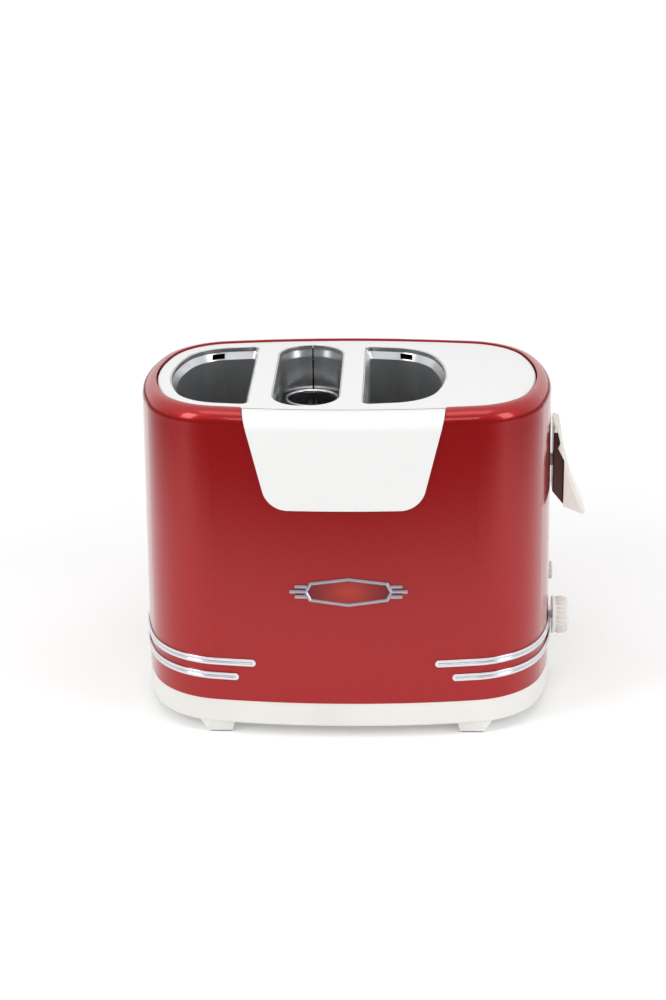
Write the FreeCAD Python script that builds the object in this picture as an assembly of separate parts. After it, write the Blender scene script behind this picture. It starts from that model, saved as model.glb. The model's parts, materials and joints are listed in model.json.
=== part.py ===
"""A free-standing toaster for hot dogs: two deep wells for buns beside a well with a basket of two tubes."""
import FreeCAD
import Part
import math
import os

V = FreeCAD.Vector

# Outline of the body, seen from above: two long sides, two ends and four corners, all arcs
HALF_WIDTH = 131.0
HALF_DEPTH = 82.7
SIDE_RADIUS = 551.0
END_RADIUS = 129.0
CORNER_RADIUS = 51.4
FLARE = 1.8

# Heights
FOOT_HEIGHT = 8.0
BASE_HEIGHT = 16.5
DECK_TOP = 218.0
RIM_RISE = 1.0
PAD_HEIGHT = 1.0

# Painted shell
SHELL_WALL = 1.0
RIM_RADIUS = 9.0
RIM_LIP_DEPTH = 8.0
RIM_OPENING_INSET = 9.3
DECK_GAP = 0.75

# Deck
DECK_WALL = 3.0
DECK_EDGE_RADIUS = 1.2
DECK_BOSS_RADIUS = 3.6

# Openings in the deck
WELLS_CENTRE_X = -24.3
SAUSAGE_OPENING_WIDTH = 41.7
WELL_INSET = 19.0
BAR_WIDTH = 15.1
BUN_CORNER_RADIUS = 4.0

# Steel liners of the wells
LINER_WALL = 0.6
LINER_FIT = 0.2
COLLAR_SINK = 0.8
COLLAR_HEIGHT = 2.7
SHOULDER_HEIGHT = 4.5
SHOULDER_INSET = 2.5
SAUSAGE_SHOULDER_INSET = 0.9
HALF_SEAM = 1.0
PEEP_WIDTH = 8.0
PEEP_HEIGHT = 3.2
PEEP_OUT = 62.5
BEAM_SLOT_WIDTH = 5.0

# Steel frame plates
LOWER_PLATE_Z = 31.0
PLATE_WALL = 1.2
UPPER_PLATE_DROP = 9.8
PLATE_EDGE_INSET = 6.0
LEDGE = 1.2

# Heating cards, windings and guard grids
CARD_WALL = 1.0
CARD_CENTRE_GAP = 9.0
CARD_END_INSET = 9.2
RIBBON_WALL = 0.3
RIBBON_HEIGHT = 1.6
RIBBON_TURNS = 12
RIBBON_MARGIN = 26.0
WINDOW_BOTTOM = 60.0
WINDOW_TOP = 170.0
WINDOW_EDGE = 3.0
GRID_WIRE_RADIUS = 0.75
GRID_WIRES = 5
GRID_STAND_OFF = 0.3

# Front panel
PANEL_TOP_HALF = 62.5
PANEL_BOTTOM_HALF = 47.3
PANEL_HEIGHT = 62.0
PANEL_CORNER_RADIUS = 16.0
PANEL_WALL = 2.0
PANEL_FIT = 0.3

# Badge
BADGE_X = 2.5
BADGE_Z = 101.6
BADGE_HALF_LENGTH = 28.0
BADGE_HALF_HEIGHT = 9.8
BADGE_SHOULDER = 0.63
BADGE_SHOULDER_LENGTH = 25.2
BADGE_RIM = 2.0
BADGE_WALL = 1.3
BADGE_PLATE_WALL = 0.8
WING_HEIGHT = 2.2
WING_PITCH = 4.2
WING_LONG = 9.0
WING_SHORT = 5.6

# Trim strips
STRIP_HEIGHT = 4.8
STRIP_WALL = 1.2
STRIP_GROOVE = 0.9
STRIP_GROOVE_DEPTH = 0.5
UPPER_STRIP_Z = 51.5
LOWER_STRIP_Z = 41.5
UPPER_STRIP_END = 56.8
LOWER_STRIP_END = 67.8

# Base pan
BASE_WALL = 2.5
BASE_STEP_IN = 0.3
BASE_EDGE_RADIUS = 1.5
BASE_RIB_HEIGHT = 4.5
BASE_RIB_FIT = 0.3
FOOT_X = 83.0
FOOT_Y = 65.5
FOOT_TOP_HALF = 12.0
FOOT_BOTTOM_HALF_X = 7.7
FOOT_BOTTOM_HALF_Y = 10.0
FOOT_LEAN = 2.0
FOOT_STEP_IN = 0.5
PAD_STEP_IN = 1.0
POST_RADIUS = 4.5
SCREW_RADIUS = 1.8
SCREW_HEAD_RADIUS = 3.4
SCREW_HEAD_HEIGHT = 2.2
LEFT_POST_X = -114.0
LEFT_POST_Y = 24.0
RIGHT_POST_X = 72.0
RIGHT_POST_Y = 48.0
VENT_WIDTH = 3.0
VENT_LENGTH = 26.0
VENT_PITCH = 7.0
BASE_VENTS = 4

# Crumb tray
TRAY_HALF_WIDTH = 66.0
TRAY_FRONT = 60.0
TRAY_WALL = 1.0
TRAY_HEIGHT = 8.5
TRAY_FIT = 0.4
FINGER_NOTCH = 44.0

# Carriage, beam and cradles
TRAVEL = 52.0
CRADLE_TOP = 93.5
CRADLE_WALL = 1.0
CRADLE_INSET = 8.0
BASKET_CRADLE_INSET = 5.0
CRUMB_SLOTS = 3
BEAM_WALL = 2.0
BEAM_HEIGHT = 6.0
ROD_X = 84.0
ROD_Y = 16.0
ROD_RADIUS = 3.0
RUNNING_FIT = 0.05
CARRIAGE_WALL = 2.5
CARRIAGE_OVER_ARM = 8.5
LUG_HEIGHT = 12.0
LUG_SIZE = 12.0
SPRING_RADIUS = 5.4
SPRING_WIRE = 0.7
SPRING_TURNS = 9
LATCH_Z = 120.0
LATCH_LENGTH = 20.0
LATCH_WALL = 2.0
LATCH_HALF_WIDTH = 8.0
SEAT_GAP = 0.3
MAGNET_LEG = 4.0

# Lever
ARM_Z = 160.0
ARM_HEIGHT = 8.0
ARM_WALL = 2.0
ARM_END_INSET = 1.0
GRIP_REACH = 23.0
GRIP_GAP = 0.6
GRIP_TOP = 187.0
GRIP_BOTTOM = 127.0
GRIP_HALF_WIDTH = 14.0
INSERT_REACH = 7.0
INSERT_HALF_WIDTH = 10.0
CREST_DROP = 4.2
CREST_INSET = 0.6
CROWN_REACH = 4.4
CROWN_DROP = 0.8
SCOOP_REACH = 11.0
SCOOP_DROP = 32.0
TOE_RISE = 1.8
HEEL_INSET = 1.5
NECK_REACH = 2.5
LIP_REACH = 4.2
LIP_DROP = 11.7
WAIST_REACH = 2.9
WAIST_DROP = 15.0
HIP_DROP = 23.4
TAIL_RISE = 5.3
TAIL_INNER_RISE = 14.1
GRIP_EDGE_RADIUS = 2.4
ARM_SLOT_WIDTH = 5.0
ARM_SLOT_ROOM = 2.0

# Controls
KNOB_Z = 50.0
KNOB_RADIUS = 12.5
KNOB_LENGTH = 11.0
KNOB_GAP = 2.2
KNOB_EDGE_RADIUS = 1.8
KNOB_FLUTES = 18
FLUTE_RADIUS = 1.1
FLUTE_OUT = 0.5
FLUTE_LENGTH = 7.7
POINTER_DEPTH = 0.6
POINTER_HALF_WIDTH = 0.7
POINTER_START = 4.4
POINTER_END = 10.6
SHAFT_IN_KNOB = 6.6
SHAFT_RADIUS = 2.5
SHAFT_HOLE_RADIUS = 3.0
BUTTON_Y = 24.0
BUTTON_Z = 72.0
BUTTON_RADIUS = 6.0
BUTTON_PROUD = 4.0
BUTTON_FIT = 0.35
BUTTON_TRAVEL = 2.0
BUTTON_EDGE_RADIUS = 1.2
STEM_RADIUS = 2.4
FLANGE_LIP = 1.0
FLANGE_WALL = 1.2
BOARD_X = 111.0
BOARD_WALL = 1.6
BOARD_HALF_WIDTH = 30.0
BOARD_HEIGHT = 58.0
BRACKET_WALL = 1.2
BRACKET_FOOT = 8.0
BRACKET_HOLE_WIDTH = 16.0
BRACKET_HOLE_HEIGHT = 21.0
BOARD_RAISE = 2.0
RELAY_SIZE = (7.0, 12.0, 16.0)
RELAY_Y = -20.0
RELAY_RISE = 8.0
CAPACITOR_RADIUS = 4.0
CAPACITOR_LENGTH = 7.0
CAPACITOR_RISE = 36.0
CHIP_SIZE = (2.0, 10.0, 14.0)
CHIP_Y = 19.0
DIAL_RADIUS = 8.0
DIAL_DEPTH = 7.0
DIAL_FLOOR = 1.5
SWITCH_SIZE = 8.0
SWITCH_DEPTH = 7.0

# Basket
BASKET_TOP = 188.0
TUBE_RADIUS = 17.4
TUBE_WALL = 0.8
TUBE_RIM_RADIUS = 1.2
TUBE_SEAT = 0.3
HOLE_RADIUS = 3.5
DRAIN_RADIUS = 7.0
HOLES_ROUND = 8
HOLE_ROWS = 7
BRIDGE_WIDTH = 12.0
BRIDGE_WALL = 1.2
BRIDGE_DROP = 9.0
KNOB_STEM_RADIUS = 2.5
LIFT_KNOB_RADIUS = 6.5
LIFT_KNOB_TOP_DROP = 1.0
LIFT_KNOB_EDGE_RADIUS = 2.0

# Mains entry
GLAND_X = 62.0
GLAND_RADIUS = 5.5
GLAND_BORE = 3.4
GLAND_FLANGE = 1.6
TERMINAL_X = 96.0
TERMINAL_Y = 40.0
TERMINAL_LENGTH = 24.0
TERMINAL_WIDTH = 12.0
TERMINAL_HEIGHT = 11.0
TERMINAL_WAYS = 3
TERMINAL_HOLE_RADIUS = 2.0
TERMINAL_FLOOR = 3.0

# Vents in the left end
SIDE_VENT_Z = 168.0
SIDE_VENT_LENGTH = 18.0
SIDE_VENT_WIDTH = 4.0
SIDE_VENT_PITCH = 12.0
SIDE_VENTS = 3

# Levels and places that follow
SHELL_BOTTOM = FOOT_HEIGHT + BASE_HEIGHT
RIM_TOP = DECK_TOP + RIM_RISE
STRAIGHT_Z = DECK_TOP - PANEL_WALL - RIM_RADIUS - 1
DECK_INSET = RIM_OPENING_INSET + DECK_GAP
DECK_BOTTOM = DECK_TOP - DECK_WALL
COLLAR_TOP = DECK_TOP - COLLAR_SINK
COLLAR_BOTTOM = COLLAR_TOP - COLLAR_HEIGHT
SHOULDER_BOTTOM = COLLAR_BOTTOM - SHOULDER_HEIGHT
UPPER_PLATE_TOP = DECK_TOP - UPPER_PLATE_DROP
UPPER_PLATE_BOTTOM = UPPER_PLATE_TOP - PLATE_WALL
LOWER_PLATE_TOP = LOWER_PLATE_Z + PLATE_WALL
LINER_BOTTOM = LOWER_PLATE_TOP
SAUSAGE_HALF = SAUSAGE_OPENING_WIDTH / 2
BUN_FLAT_X = WELLS_CENTRE_X - SAUSAGE_HALF - BAR_WIDTH
WELL_HALF_DEPTH = HALF_DEPTH - WELL_INSET
CARD_WIDTH = WELL_HALF_DEPTH - CARD_END_INSET - CARD_CENTRE_GAP / 2
TUBE_Y = WELL_HALF_DEPTH - SAUSAGE_HALF
BEAM_TOP = CRADLE_TOP - CRADLE_WALL
BEAM_BOTTOM = BEAM_TOP - BEAM_HEIGHT
CARRIAGE_FACE_X = ROD_X - LUG_SIZE / 2
CARRIAGE_BOTTOM = BEAM_BOTTOM
CARRIAGE_TOP = ARM_Z + ARM_HEIGHT / 2 + CARRIAGE_OVER_ARM
FAR = 400.0
TRAY_BOTTOM = FOOT_HEIGHT + BASE_WALL + TRAY_FIT
TRAY_TOP = TRAY_BOTTOM + TRAY_HEIGHT
ORIGIN_X = (GRIP_REACH - FLARE) / 2


def box(x0, x1, y0, y1, z0, z1):
    """A box between two corners."""
    return Part.makeBox(x1 - x0, y1 - y0, z1 - z0, V(x0, y0, z0))


def rod(radius, start, direction, length):
    """A round bar."""
    return Part.makeCylinder(radius, length, start, direction)


def unit(vector):
    """The same direction, one long."""
    return V(vector) * (1 / vector.Length)


def arc(a, b, c):
    """An arc through three points."""
    return Part.Arc(a, b, c).toShape()


def corner_points(offset):
    """Where the long side meets the corner, the corner's middle, and where it meets the end."""
    side_r = SIDE_RADIUS + offset
    end_r = END_RADIUS + offset
    corner_r = CORNER_RADIUS + offset
    side_c = V(0, HALF_DEPTH - SIDE_RADIUS, 0)
    end_c = V(HALF_WIDTH - END_RADIUS, 0, 0)
    to_side = side_r - corner_r
    to_end = end_r - corner_r
    across = end_c - side_c
    d = across.Length
    along = (to_side ** 2 - to_end ** 2 + d ** 2) / (2 * d)
    rise = math.sqrt(to_side ** 2 - along ** 2)
    u = unit(across)
    centre = side_c + u * along + V(u.y, -u.x, 0) * rise
    start = side_c + unit(centre - side_c) * side_r
    end = end_c + unit(centre - end_c) * end_r
    middle = centre + unit((start - centre) + (end - centre)) * corner_r
    return start, middle, end


def flip(point, sx, sy, z):
    """A point mirrored into another quarter, at a height."""
    return V(point.x * sx, point.y * sy, z)


def outline(offset, z):
    """The body's outline at a height, moved outwards by the offset."""
    start, middle, end = corner_points(offset)
    side = V(0, HALF_DEPTH + offset, 0)
    tip = V(HALF_WIDTH + offset, 0, 0)
    edges = [
        arc(flip(start, -1, 1, z), flip(side, 1, 1, z), flip(start, 1, 1, z)),
        arc(flip(start, 1, 1, z), flip(middle, 1, 1, z), flip(end, 1, 1, z)),
        arc(flip(end, 1, 1, z), flip(tip, 1, 1, z), flip(end, 1, -1, z)),
        arc(flip(end, 1, -1, z), flip(middle, 1, -1, z), flip(start, 1, -1, z)),
        arc(flip(start, 1, -1, z), flip(side, 1, -1, z), flip(start, -1, -1, z)),
        arc(flip(start, -1, -1, z), flip(middle, -1, -1, z), flip(end, -1, -1, z)),
        arc(flip(end, -1, -1, z), flip(tip, -1, 1, z), flip(end, -1, 1, z)),
        arc(flip(end, -1, 1, z), flip(middle, -1, 1, z), flip(start, -1, 1, z)),
    ]
    return Part.Wire(edges)


def bun_outline(offset, z):
    """The left bun opening: the body's outline inset, closed by a flat side with round corners."""
    inset = offset - WELL_INSET
    start, middle, end = corner_points(inset)
    flat = BUN_FLAT_X + offset
    round_r = BUN_CORNER_RADIUS + offset
    side_c = V(0, HALF_DEPTH - SIDE_RADIUS, 0)
    side_r = SIDE_RADIUS + inset
    centre_x = flat - round_r
    centre_y = side_c.y + math.sqrt((side_r - round_r) ** 2 - centre_x ** 2)
    centre = V(centre_x, centre_y, 0)
    out = unit(centre - side_c)
    on_side = side_c + out * side_r
    on_flat = V(flat, centre_y, 0)
    bend = centre + unit(out + V(1, 0, 0)) * round_r
    half_way = side_c + unit(on_side + flip(start, -1, 1, 0) - side_c * 2) * side_r
    edges = [
        arc(flip(on_flat, 1, 1, z), flip(bend, 1, 1, z), flip(on_side, 1, 1, z)),
        arc(flip(on_side, 1, 1, z), flip(half_way, 1, 1, z), flip(start, -1, 1, z)),
        arc(flip(start, -1, 1, z), flip(middle, -1, 1, z), flip(end, -1, 1, z)),
        arc(flip(end, -1, 1, z), V(-HALF_WIDTH - inset, 0, z), flip(end, -1, -1, z)),
        arc(flip(end, -1, -1, z), flip(middle, -1, -1, z), flip(start, -1, -1, z)),
        arc(flip(start, -1, -1, z), flip(half_way, 1, -1, z), flip(on_side, 1, -1, z)),
        arc(flip(on_side, 1, -1, z), flip(bend, 1, -1, z), flip(on_flat, 1, -1, z)),
        Part.makeLine(flip(on_flat, 1, -1, z), flip(on_flat, 1, 1, z)),
    ]
    return Part.Wire(edges)


def sausage_outline(offset, z):
    """The middle opening: a slot with round ends, front to back."""
    r = SAUSAGE_HALF + offset
    x = WELLS_CENTRE_X
    y = TUBE_Y
    edges = [
        Part.makeLine(V(x + r, -y, z), V(x + r, y, z)),
        arc(V(x + r, y, z), V(x, y + r, z), V(x - r, y, z)),
        Part.makeLine(V(x - r, y, z), V(x - r, -y, z)),
        arc(V(x - r, -y, z), V(x, -y - r, z), V(x + r, -y, z)),
    ]
    return Part.Wire(edges)


def prism(wire, height):
    """A wire's face, raised."""
    return Part.Face(wire).extrude(V(0, 0, height))


def between(shape, o0, z0, o1, z1):
    """A solid from one offset at a height to another offset at another height."""
    if abs(o0 - o1) < 1e-9:
        return prism(shape(o0, z0), z1 - z0)
    return Part.makeLoft([shape(o0, z0), shape(o1, z1)], True, True)


def flare_at(z):
    """How far the shell stands out at a height: nothing at the rim, all of the flare at the foot."""
    return FLARE * max(0.0, STRAIGHT_Z - z) / (STRAIGHT_Z - SHELL_BOTTOM)


def body(offset, z0, z1):
    """The shell's outer form between two heights, moved outwards by the offset."""
    low = min(z1, STRAIGHT_Z)
    high = max(z0, STRAIGHT_Z)
    solids = []
    if low > z0:
        solids.append(between(outline, offset + flare_at(z0), z0, offset + flare_at(low), low))
    if z1 > high:
        solids.append(prism(outline(offset, high), z1 - high))
    return solids[0] if len(solids) == 1 else solids[0].fuse(solids[1])


def top_edges(shape, z):
    """The edges that lie at a height."""
    return [e for e in shape.Edges if all(abs(v.Z - z) < 1e-4 for v in e.Vertexes)]


def domed(offset, z0, z1, radius):
    """The shell's outer form with a rounded top edge."""
    cap = prism(outline(offset, STRAIGHT_Z), z1 - STRAIGHT_Z)
    cap = cap.makeFillet(radius, top_edges(cap, z1))
    return body(offset, z0, STRAIGHT_Z).fuse(cap)


def mirror_wells(shape):
    """A piece of the left bun well, mirrored to the right one."""
    return shape.mirror(V(WELLS_CENTRE_X, 0, 0), V(1, 0, 0))


def slot_prism(centre, half_length, half_width, along, through):
    """A long hole with round ends, as a solid that runs both ways through a wall."""
    side = unit(along.cross(through))
    a = centre + along * half_length
    b = centre - along * half_length
    s = side * half_width
    edges = [
        Part.makeLine(b + s, a + s),
        arc(a + s, a + along * half_width, a - s),
        Part.makeLine(a - s, b - s),
        arc(b - s, b - along * half_width, b + s),
    ]
    return Part.Face(Part.Wire(edges)).extrude(through)


def panel_prism(grow):
    """The front panel's outline, as a prism from front to back."""
    top_z = RIM_TOP + FOOT_HEIGHT
    slope = (PANEL_TOP_HALF - PANEL_BOTTOM_HALF) / PANEL_HEIGHT
    bottom_z = DECK_TOP - PANEL_HEIGHT - grow
    top_half = PANEL_TOP_HALF + grow + slope * (top_z - DECK_TOP)
    bottom_half = PANEL_BOTTOM_HALF + grow - slope * grow
    points = [
        V(-bottom_half, -FAR, bottom_z),
        V(bottom_half, -FAR, bottom_z),
        V(top_half, -FAR, top_z),
        V(-top_half, -FAR, top_z),
    ]
    solid = Part.Face(Part.makePolygon(points + points[:1])).extrude(V(0, FAR, 0))
    lower = [
        e for e in solid.Edges
        if abs(e.Vertexes[0].Z - bottom_z) < 1e-4 and abs(e.Vertexes[-1].Z - bottom_z) < 1e-4
        and abs(e.Vertexes[0].Y - e.Vertexes[-1].Y) > 1
    ]
    return solid.makeFillet(PANEL_CORNER_RADIUS, lower)


def outer_shell():
    """The painted steel shell with its rolled rim."""
    outer = domed(0, SHELL_BOTTOM, RIM_TOP, RIM_RADIUS)
    inner = domed(-SHELL_WALL, SHELL_BOTTOM, RIM_TOP - SHELL_WALL, RIM_RADIUS - SHELL_WALL)
    shell = outer.cut(inner)
    lip_bottom = RIM_TOP - RIM_LIP_DEPTH
    lip = prism(outline(SHELL_WALL - RIM_OPENING_INSET, lip_bottom), RIM_LIP_DEPTH - SHELL_WALL / 2)
    opening = prism(outline(-RIM_OPENING_INSET, lip_bottom), RIM_LIP_DEPTH * 2)
    shell = shell.fuse(lip).cut(opening)
    notch_z = DECK_TOP - PANEL_WALL - RIM_RADIUS - PANEL_FIT
    notch = panel_prism(PANEL_FIT).common(box(-FAR, FAR, -FAR, 0, notch_z, FAR))
    shell = shell.cut(notch)
    right = V(1, 0, 0)
    up = V(0, 0, 1)
    inside = HALF_WIDTH / 2
    slot_z = ARM_Z - TRAVEL / 2
    half = (TRAVEL + ARM_HEIGHT) / 2 + ARM_SLOT_ROOM - ARM_SLOT_WIDTH / 2
    holes = [
        slot_prism(V(inside, 0, slot_z), half, ARM_SLOT_WIDTH / 2, up, right * HALF_WIDTH),
        rod(SHAFT_HOLE_RADIUS, V(inside, 0, KNOB_Z), right, HALF_WIDTH),
        rod(BUTTON_RADIUS + BUTTON_FIT, V(inside, BUTTON_Y, BUTTON_Z), right, HALF_WIDTH),
    ]
    vent_half = (SIDE_VENT_LENGTH - SIDE_VENT_WIDTH) / 2
    for i in range(SIDE_VENTS):
        y = (i - (SIDE_VENTS - 1) / 2) * SIDE_VENT_PITCH
        start = V(-inside, y, SIDE_VENT_Z)
        holes.append(slot_prism(start, vent_half, SIDE_VENT_WIDTH / 2, up, right * -HALF_WIDTH))
    for hole in holes:
        shell = shell.cut(hole)
    return shell


def deck_bosses():
    """The places of the four screws that hold the deck down."""
    x = WELLS_CENTRE_X
    left = BUN_FLAT_X + BAR_WIDTH / 2
    right = 2 * x - left
    y = WELL_HALF_DEPTH - DECK_BOSS_RADIUS / 2
    return [V(left, y, 0), V(left, -y, 0), V(right, y, 0), V(right, -y, 0)]


def top_deck():
    """The deck plate with its three openings and screw bosses."""
    deck = prism(outline(-DECK_INSET, DECK_BOTTOM), DECK_WALL)
    deck = deck.makeFillet(DECK_EDGE_RADIUS, top_edges(deck, DECK_TOP))
    room = LINER_WALL + LINER_FIT
    bun = prism(bun_outline(room, DECK_BOTTOM - DECK_WALL), DECK_WALL * 3)
    sausage = prism(sausage_outline(room, DECK_BOTTOM - DECK_WALL), DECK_WALL * 3)
    deck = deck.cut(bun).cut(mirror_wells(bun)).cut(sausage)
    up = V(0, 0, 1)
    for place in deck_bosses():
        foot = V(place.x, place.y, UPPER_PLATE_TOP)
        boss = rod(DECK_BOSS_RADIUS, foot, up, DECK_BOTTOM - UPPER_PLATE_TOP)
        deck = deck.fuse(boss).cut(rod(SCREW_RADIUS, foot, up, DECK_BOTTOM - UPPER_PLATE_TOP))
    return deck.removeSplitter()


def deck_screws():
    """Screws from under the upper plate into the deck's bosses."""
    up = V(0, 0, 1)
    reach = DECK_BOTTOM - UPPER_PLATE_BOTTOM - LINER_FIT
    screws = []
    for place in deck_bosses():
        start = V(place.x, place.y, UPPER_PLATE_BOTTOM)
        head = rod(SCREW_HEAD_RADIUS, start - up * SCREW_HEAD_HEIGHT, up, SCREW_HEAD_HEIGHT)
        shank = rod(SCREW_RADIUS - RUNNING_FIT, start, up, reach)
        screws.append(head.fuse(shank).removeSplitter())
    return Part.makeCompound(screws)


def front_panel():
    """The plain panel folded over the rim at the front."""
    bottom = DECK_TOP - PANEL_HEIGHT - PANEL_WALL
    outer = domed(PANEL_WALL, bottom, DECK_TOP, RIM_RADIUS + PANEL_WALL)
    inner = domed(0, bottom, DECK_TOP - PANEL_WALL, RIM_RADIUS)
    panel = outer.cut(inner).common(panel_prism(0))
    return panel.cut(prism(outline(PANEL_FIT - DECK_INSET, bottom), FAR))


def badge_points(grow):
    """The badge's eight corners in the plane of the front."""
    long = BADGE_HALF_LENGTH + grow
    high = BADGE_HALF_HEIGHT + grow
    shoulder_x = BADGE_SHOULDER_LENGTH + grow
    shoulder_z = high * BADGE_SHOULDER
    quarter = [(long, 0), (shoulder_x, shoulder_z), (0, high), (-shoulder_x, shoulder_z)]
    ring = quarter + [(-x, -z) for x, z in quarter]
    return [V(BADGE_X + x, -FAR, BADGE_Z + z) for x, z in ring]


def front_skin(wall):
    """A skin of the given thickness on the front of the shell, at the badge's height."""
    low = BADGE_Z - 2 * BADGE_HALF_HEIGHT
    high = BADGE_Z + 2 * BADGE_HALF_HEIGHT
    return body(wall, low, high).cut(body(0, low, high))


def badge_frame():
    """The chrome frame of the badge with three bars each side."""
    ring = badge_points(0)
    hole = badge_points(-BADGE_RIM)
    frame = Part.Face(Part.makePolygon(ring + ring[:1])).extrude(V(0, FAR, 0))
    frame = frame.cut(Part.Face(Part.makePolygon(hole + hole[:1])).extrude(V(0, FAR, 0)))
    for side in (-1, 1):
        for row in (-1, 0, 1):
            length = WING_SHORT if row else WING_LONG
            inner = BADGE_X + side * (BADGE_HALF_LENGTH - BADGE_RIM * (1 + abs(row)) / 2)
            outer = BADGE_X + side * (BADGE_HALF_LENGTH + length)
            z = BADGE_Z + row * WING_PITCH
            x0, x1 = sorted((inner, outer))
            frame = frame.fuse(box(x0, x1, -FAR, 0, z - WING_HEIGHT / 2, z + WING_HEIGHT / 2))
    return front_skin(BADGE_WALL).common(frame)


def badge_plate():
    """The plain enamel field inside the badge's frame."""
    field = badge_points(-BADGE_RIM)
    prism_field = Part.Face(Part.makePolygon(field + field[:1])).extrude(V(0, FAR, 0))
    return front_skin(BADGE_PLATE_WALL).common(prism_field)


def trim_strip(side, z, end):
    """A chrome strip that wraps one end of the body."""
    low = z - STRIP_HEIGHT
    high = z + STRIP_HEIGHT
    band = body(STRIP_WALL, low, high).cut(body(0, low, high))
    half = STRIP_HEIGHT / 2
    run = HALF_WIDTH
    centre = V(side * (end + half + run), -FAR, z)
    shape = slot_prism(centre, run, half, V(1, 0, 0), V(0, 2 * FAR, 0))
    groove_low = z - STRIP_GROOVE / 2
    groove_high = z + STRIP_GROOVE / 2
    groove = body(STRIP_WALL * 2, groove_low, groove_high)
    groove = groove.cut(body(STRIP_WALL - STRIP_GROOVE_DEPTH, groove_low, groove_high))
    keep = box(-FAR, FAR, -FAR, FAR, groove_low, groove_high)
    edge = side * (end + half)
    past = box(edge, FAR, -FAR, FAR, low, high) if side > 0 else box(-FAR, edge, -FAR, FAR, low, high)
    strip = band.common(shape).cut(groove.common(keep).common(past))
    return strip.cut(rod(SHAFT_HOLE_RADIUS, V(HALF_WIDTH / 2, 0, KNOB_Z), V(1, 0, 0), HALF_WIDTH))


def liner(shape, shoulder):
    """A sheet liner: collar, sloped shoulder and straight wall."""
    def solid(grow):
        collar = between(shape, grow, COLLAR_BOTTOM, grow, COLLAR_TOP)
        slope = between(shape, grow - shoulder, SHOULDER_BOTTOM, grow, COLLAR_BOTTOM)
        wall = between(shape, grow - shoulder, LINER_BOTTOM, grow - shoulder, SHOULDER_BOTTOM)
        return collar.fuse(slope).fuse(wall)
    return solid(LINER_WALL).cut(solid(0))


def beam_slot():
    """The slot that the lift beam runs in, through every wall that it crosses."""
    half = BEAM_SLOT_WIDTH / 2
    top = BEAM_TOP + BEAM_SLOT_WIDTH / 2
    return box(BUN_FLAT_X - BAR_WIDTH, FAR, -half, half, LINER_BOTTOM - 1, top)


def windows(x_centre):
    """Two openings in a flat wall, through which a heating card shines."""
    x0 = x_centre - BAR_WIDTH / 4
    x1 = x_centre + BAR_WIDTH / 4
    near = CARD_CENTRE_GAP / 2 + WINDOW_EDGE
    far = near + CARD_WIDTH - 2 * WINDOW_EDGE - BUN_CORNER_RADIUS
    return box(x0, x1, near, far, WINDOW_BOTTOM, WINDOW_TOP).fuse(
        box(x0, x1, -far, -near, WINDOW_BOTTOM, WINDOW_TOP))


def peep_hole():
    """A small window in the shoulder of a bun well's curved wall, at the back."""
    low = SHOULDER_BOTTOM + (SHOULDER_HEIGHT - PEEP_HEIGHT) / 2
    x = WELLS_CENTRE_X - PEEP_OUT
    return box(x - PEEP_WIDTH / 2, x + PEEP_WIDTH / 2, 0, FAR, low, low + PEEP_HEIGHT)


def bun_wells():
    """The liners of the left and the right bun well."""
    well = liner(bun_outline, SHOULDER_INSET)
    well = well.cut(windows(BUN_FLAT_X - SHOULDER_INSET))
    well = well.cut(peep_hole())
    return well.cut(beam_slot()), mirror_wells(well).cut(beam_slot())


def sausage_well(side):
    """One half of the middle well's liner, left or right of the seam."""
    well = liner(sausage_outline, SAUSAGE_SHOULDER_INSET)
    x = WELLS_CENTRE_X
    half = HALF_SEAM / 2
    keep = box(-FAR, x - half, -FAR, FAR, 0, FAR) if side < 0 else box(x + half, FAR, -FAR, FAR, 0, FAR)
    well = well.common(keep)
    wall = x + side * (SAUSAGE_HALF - SAUSAGE_SHOULDER_INSET)
    return well.cut(windows(wall)).cut(beam_slot())


def card_x(side):
    """The middle of the bar between the middle well and a bun well."""
    return WELLS_CENTRE_X + side * (SAUSAGE_HALF + BAR_WIDTH / 2)


def card_span(front):
    """The two ends of a heating card, front to back."""
    near = CARD_CENTRE_GAP / 2
    far = near + CARD_WIDTH
    return (-far, -near) if front else (near, far)


def mica_card(side, front):
    """A mica card that stands in slots in both plates."""
    x = card_x(side)
    y0, y1 = card_span(front)
    half = CARD_WALL / 2
    return box(x - half, x + half, y0, y1, LOWER_PLATE_Z, UPPER_PLATE_TOP)


def heating_ribbon(side, front):
    """Flat ribbon wound round a card, climbing half a pitch at each edge."""
    x = card_x(side)
    y0, y1 = card_span(front)
    low = LOWER_PLATE_TOP + RIBBON_MARGIN
    high = UPPER_PLATE_BOTTOM - RIBBON_MARGIN
    pitch = (high - low) / RIBBON_TURNS
    near = CARD_WALL / 2
    far = near + RIBBON_WALL
    ribbon = None
    for turn in range(RIBBON_TURNS):
        z = low + turn * pitch
        mid = z + pitch / 2
        runs = [
            box(x - far, x - near, y0 - RIBBON_WALL, y1 + RIBBON_WALL, z, z + RIBBON_HEIGHT),
            box(x - far, x + far, y1, y1 + RIBBON_WALL, z, mid + RIBBON_HEIGHT),
            box(x + near, x + far, y0 - RIBBON_WALL, y1 + RIBBON_WALL, mid, mid + RIBBON_HEIGHT),
        ]
        if turn < RIBBON_TURNS - 1:
            runs.append(box(x - far, x + far, y0 - RIBBON_WALL, y0, mid, z + pitch + RIBBON_HEIGHT))
        for run in runs:
            ribbon = run if ribbon is None else ribbon.fuse(run)
    return ribbon.removeSplitter()


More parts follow.
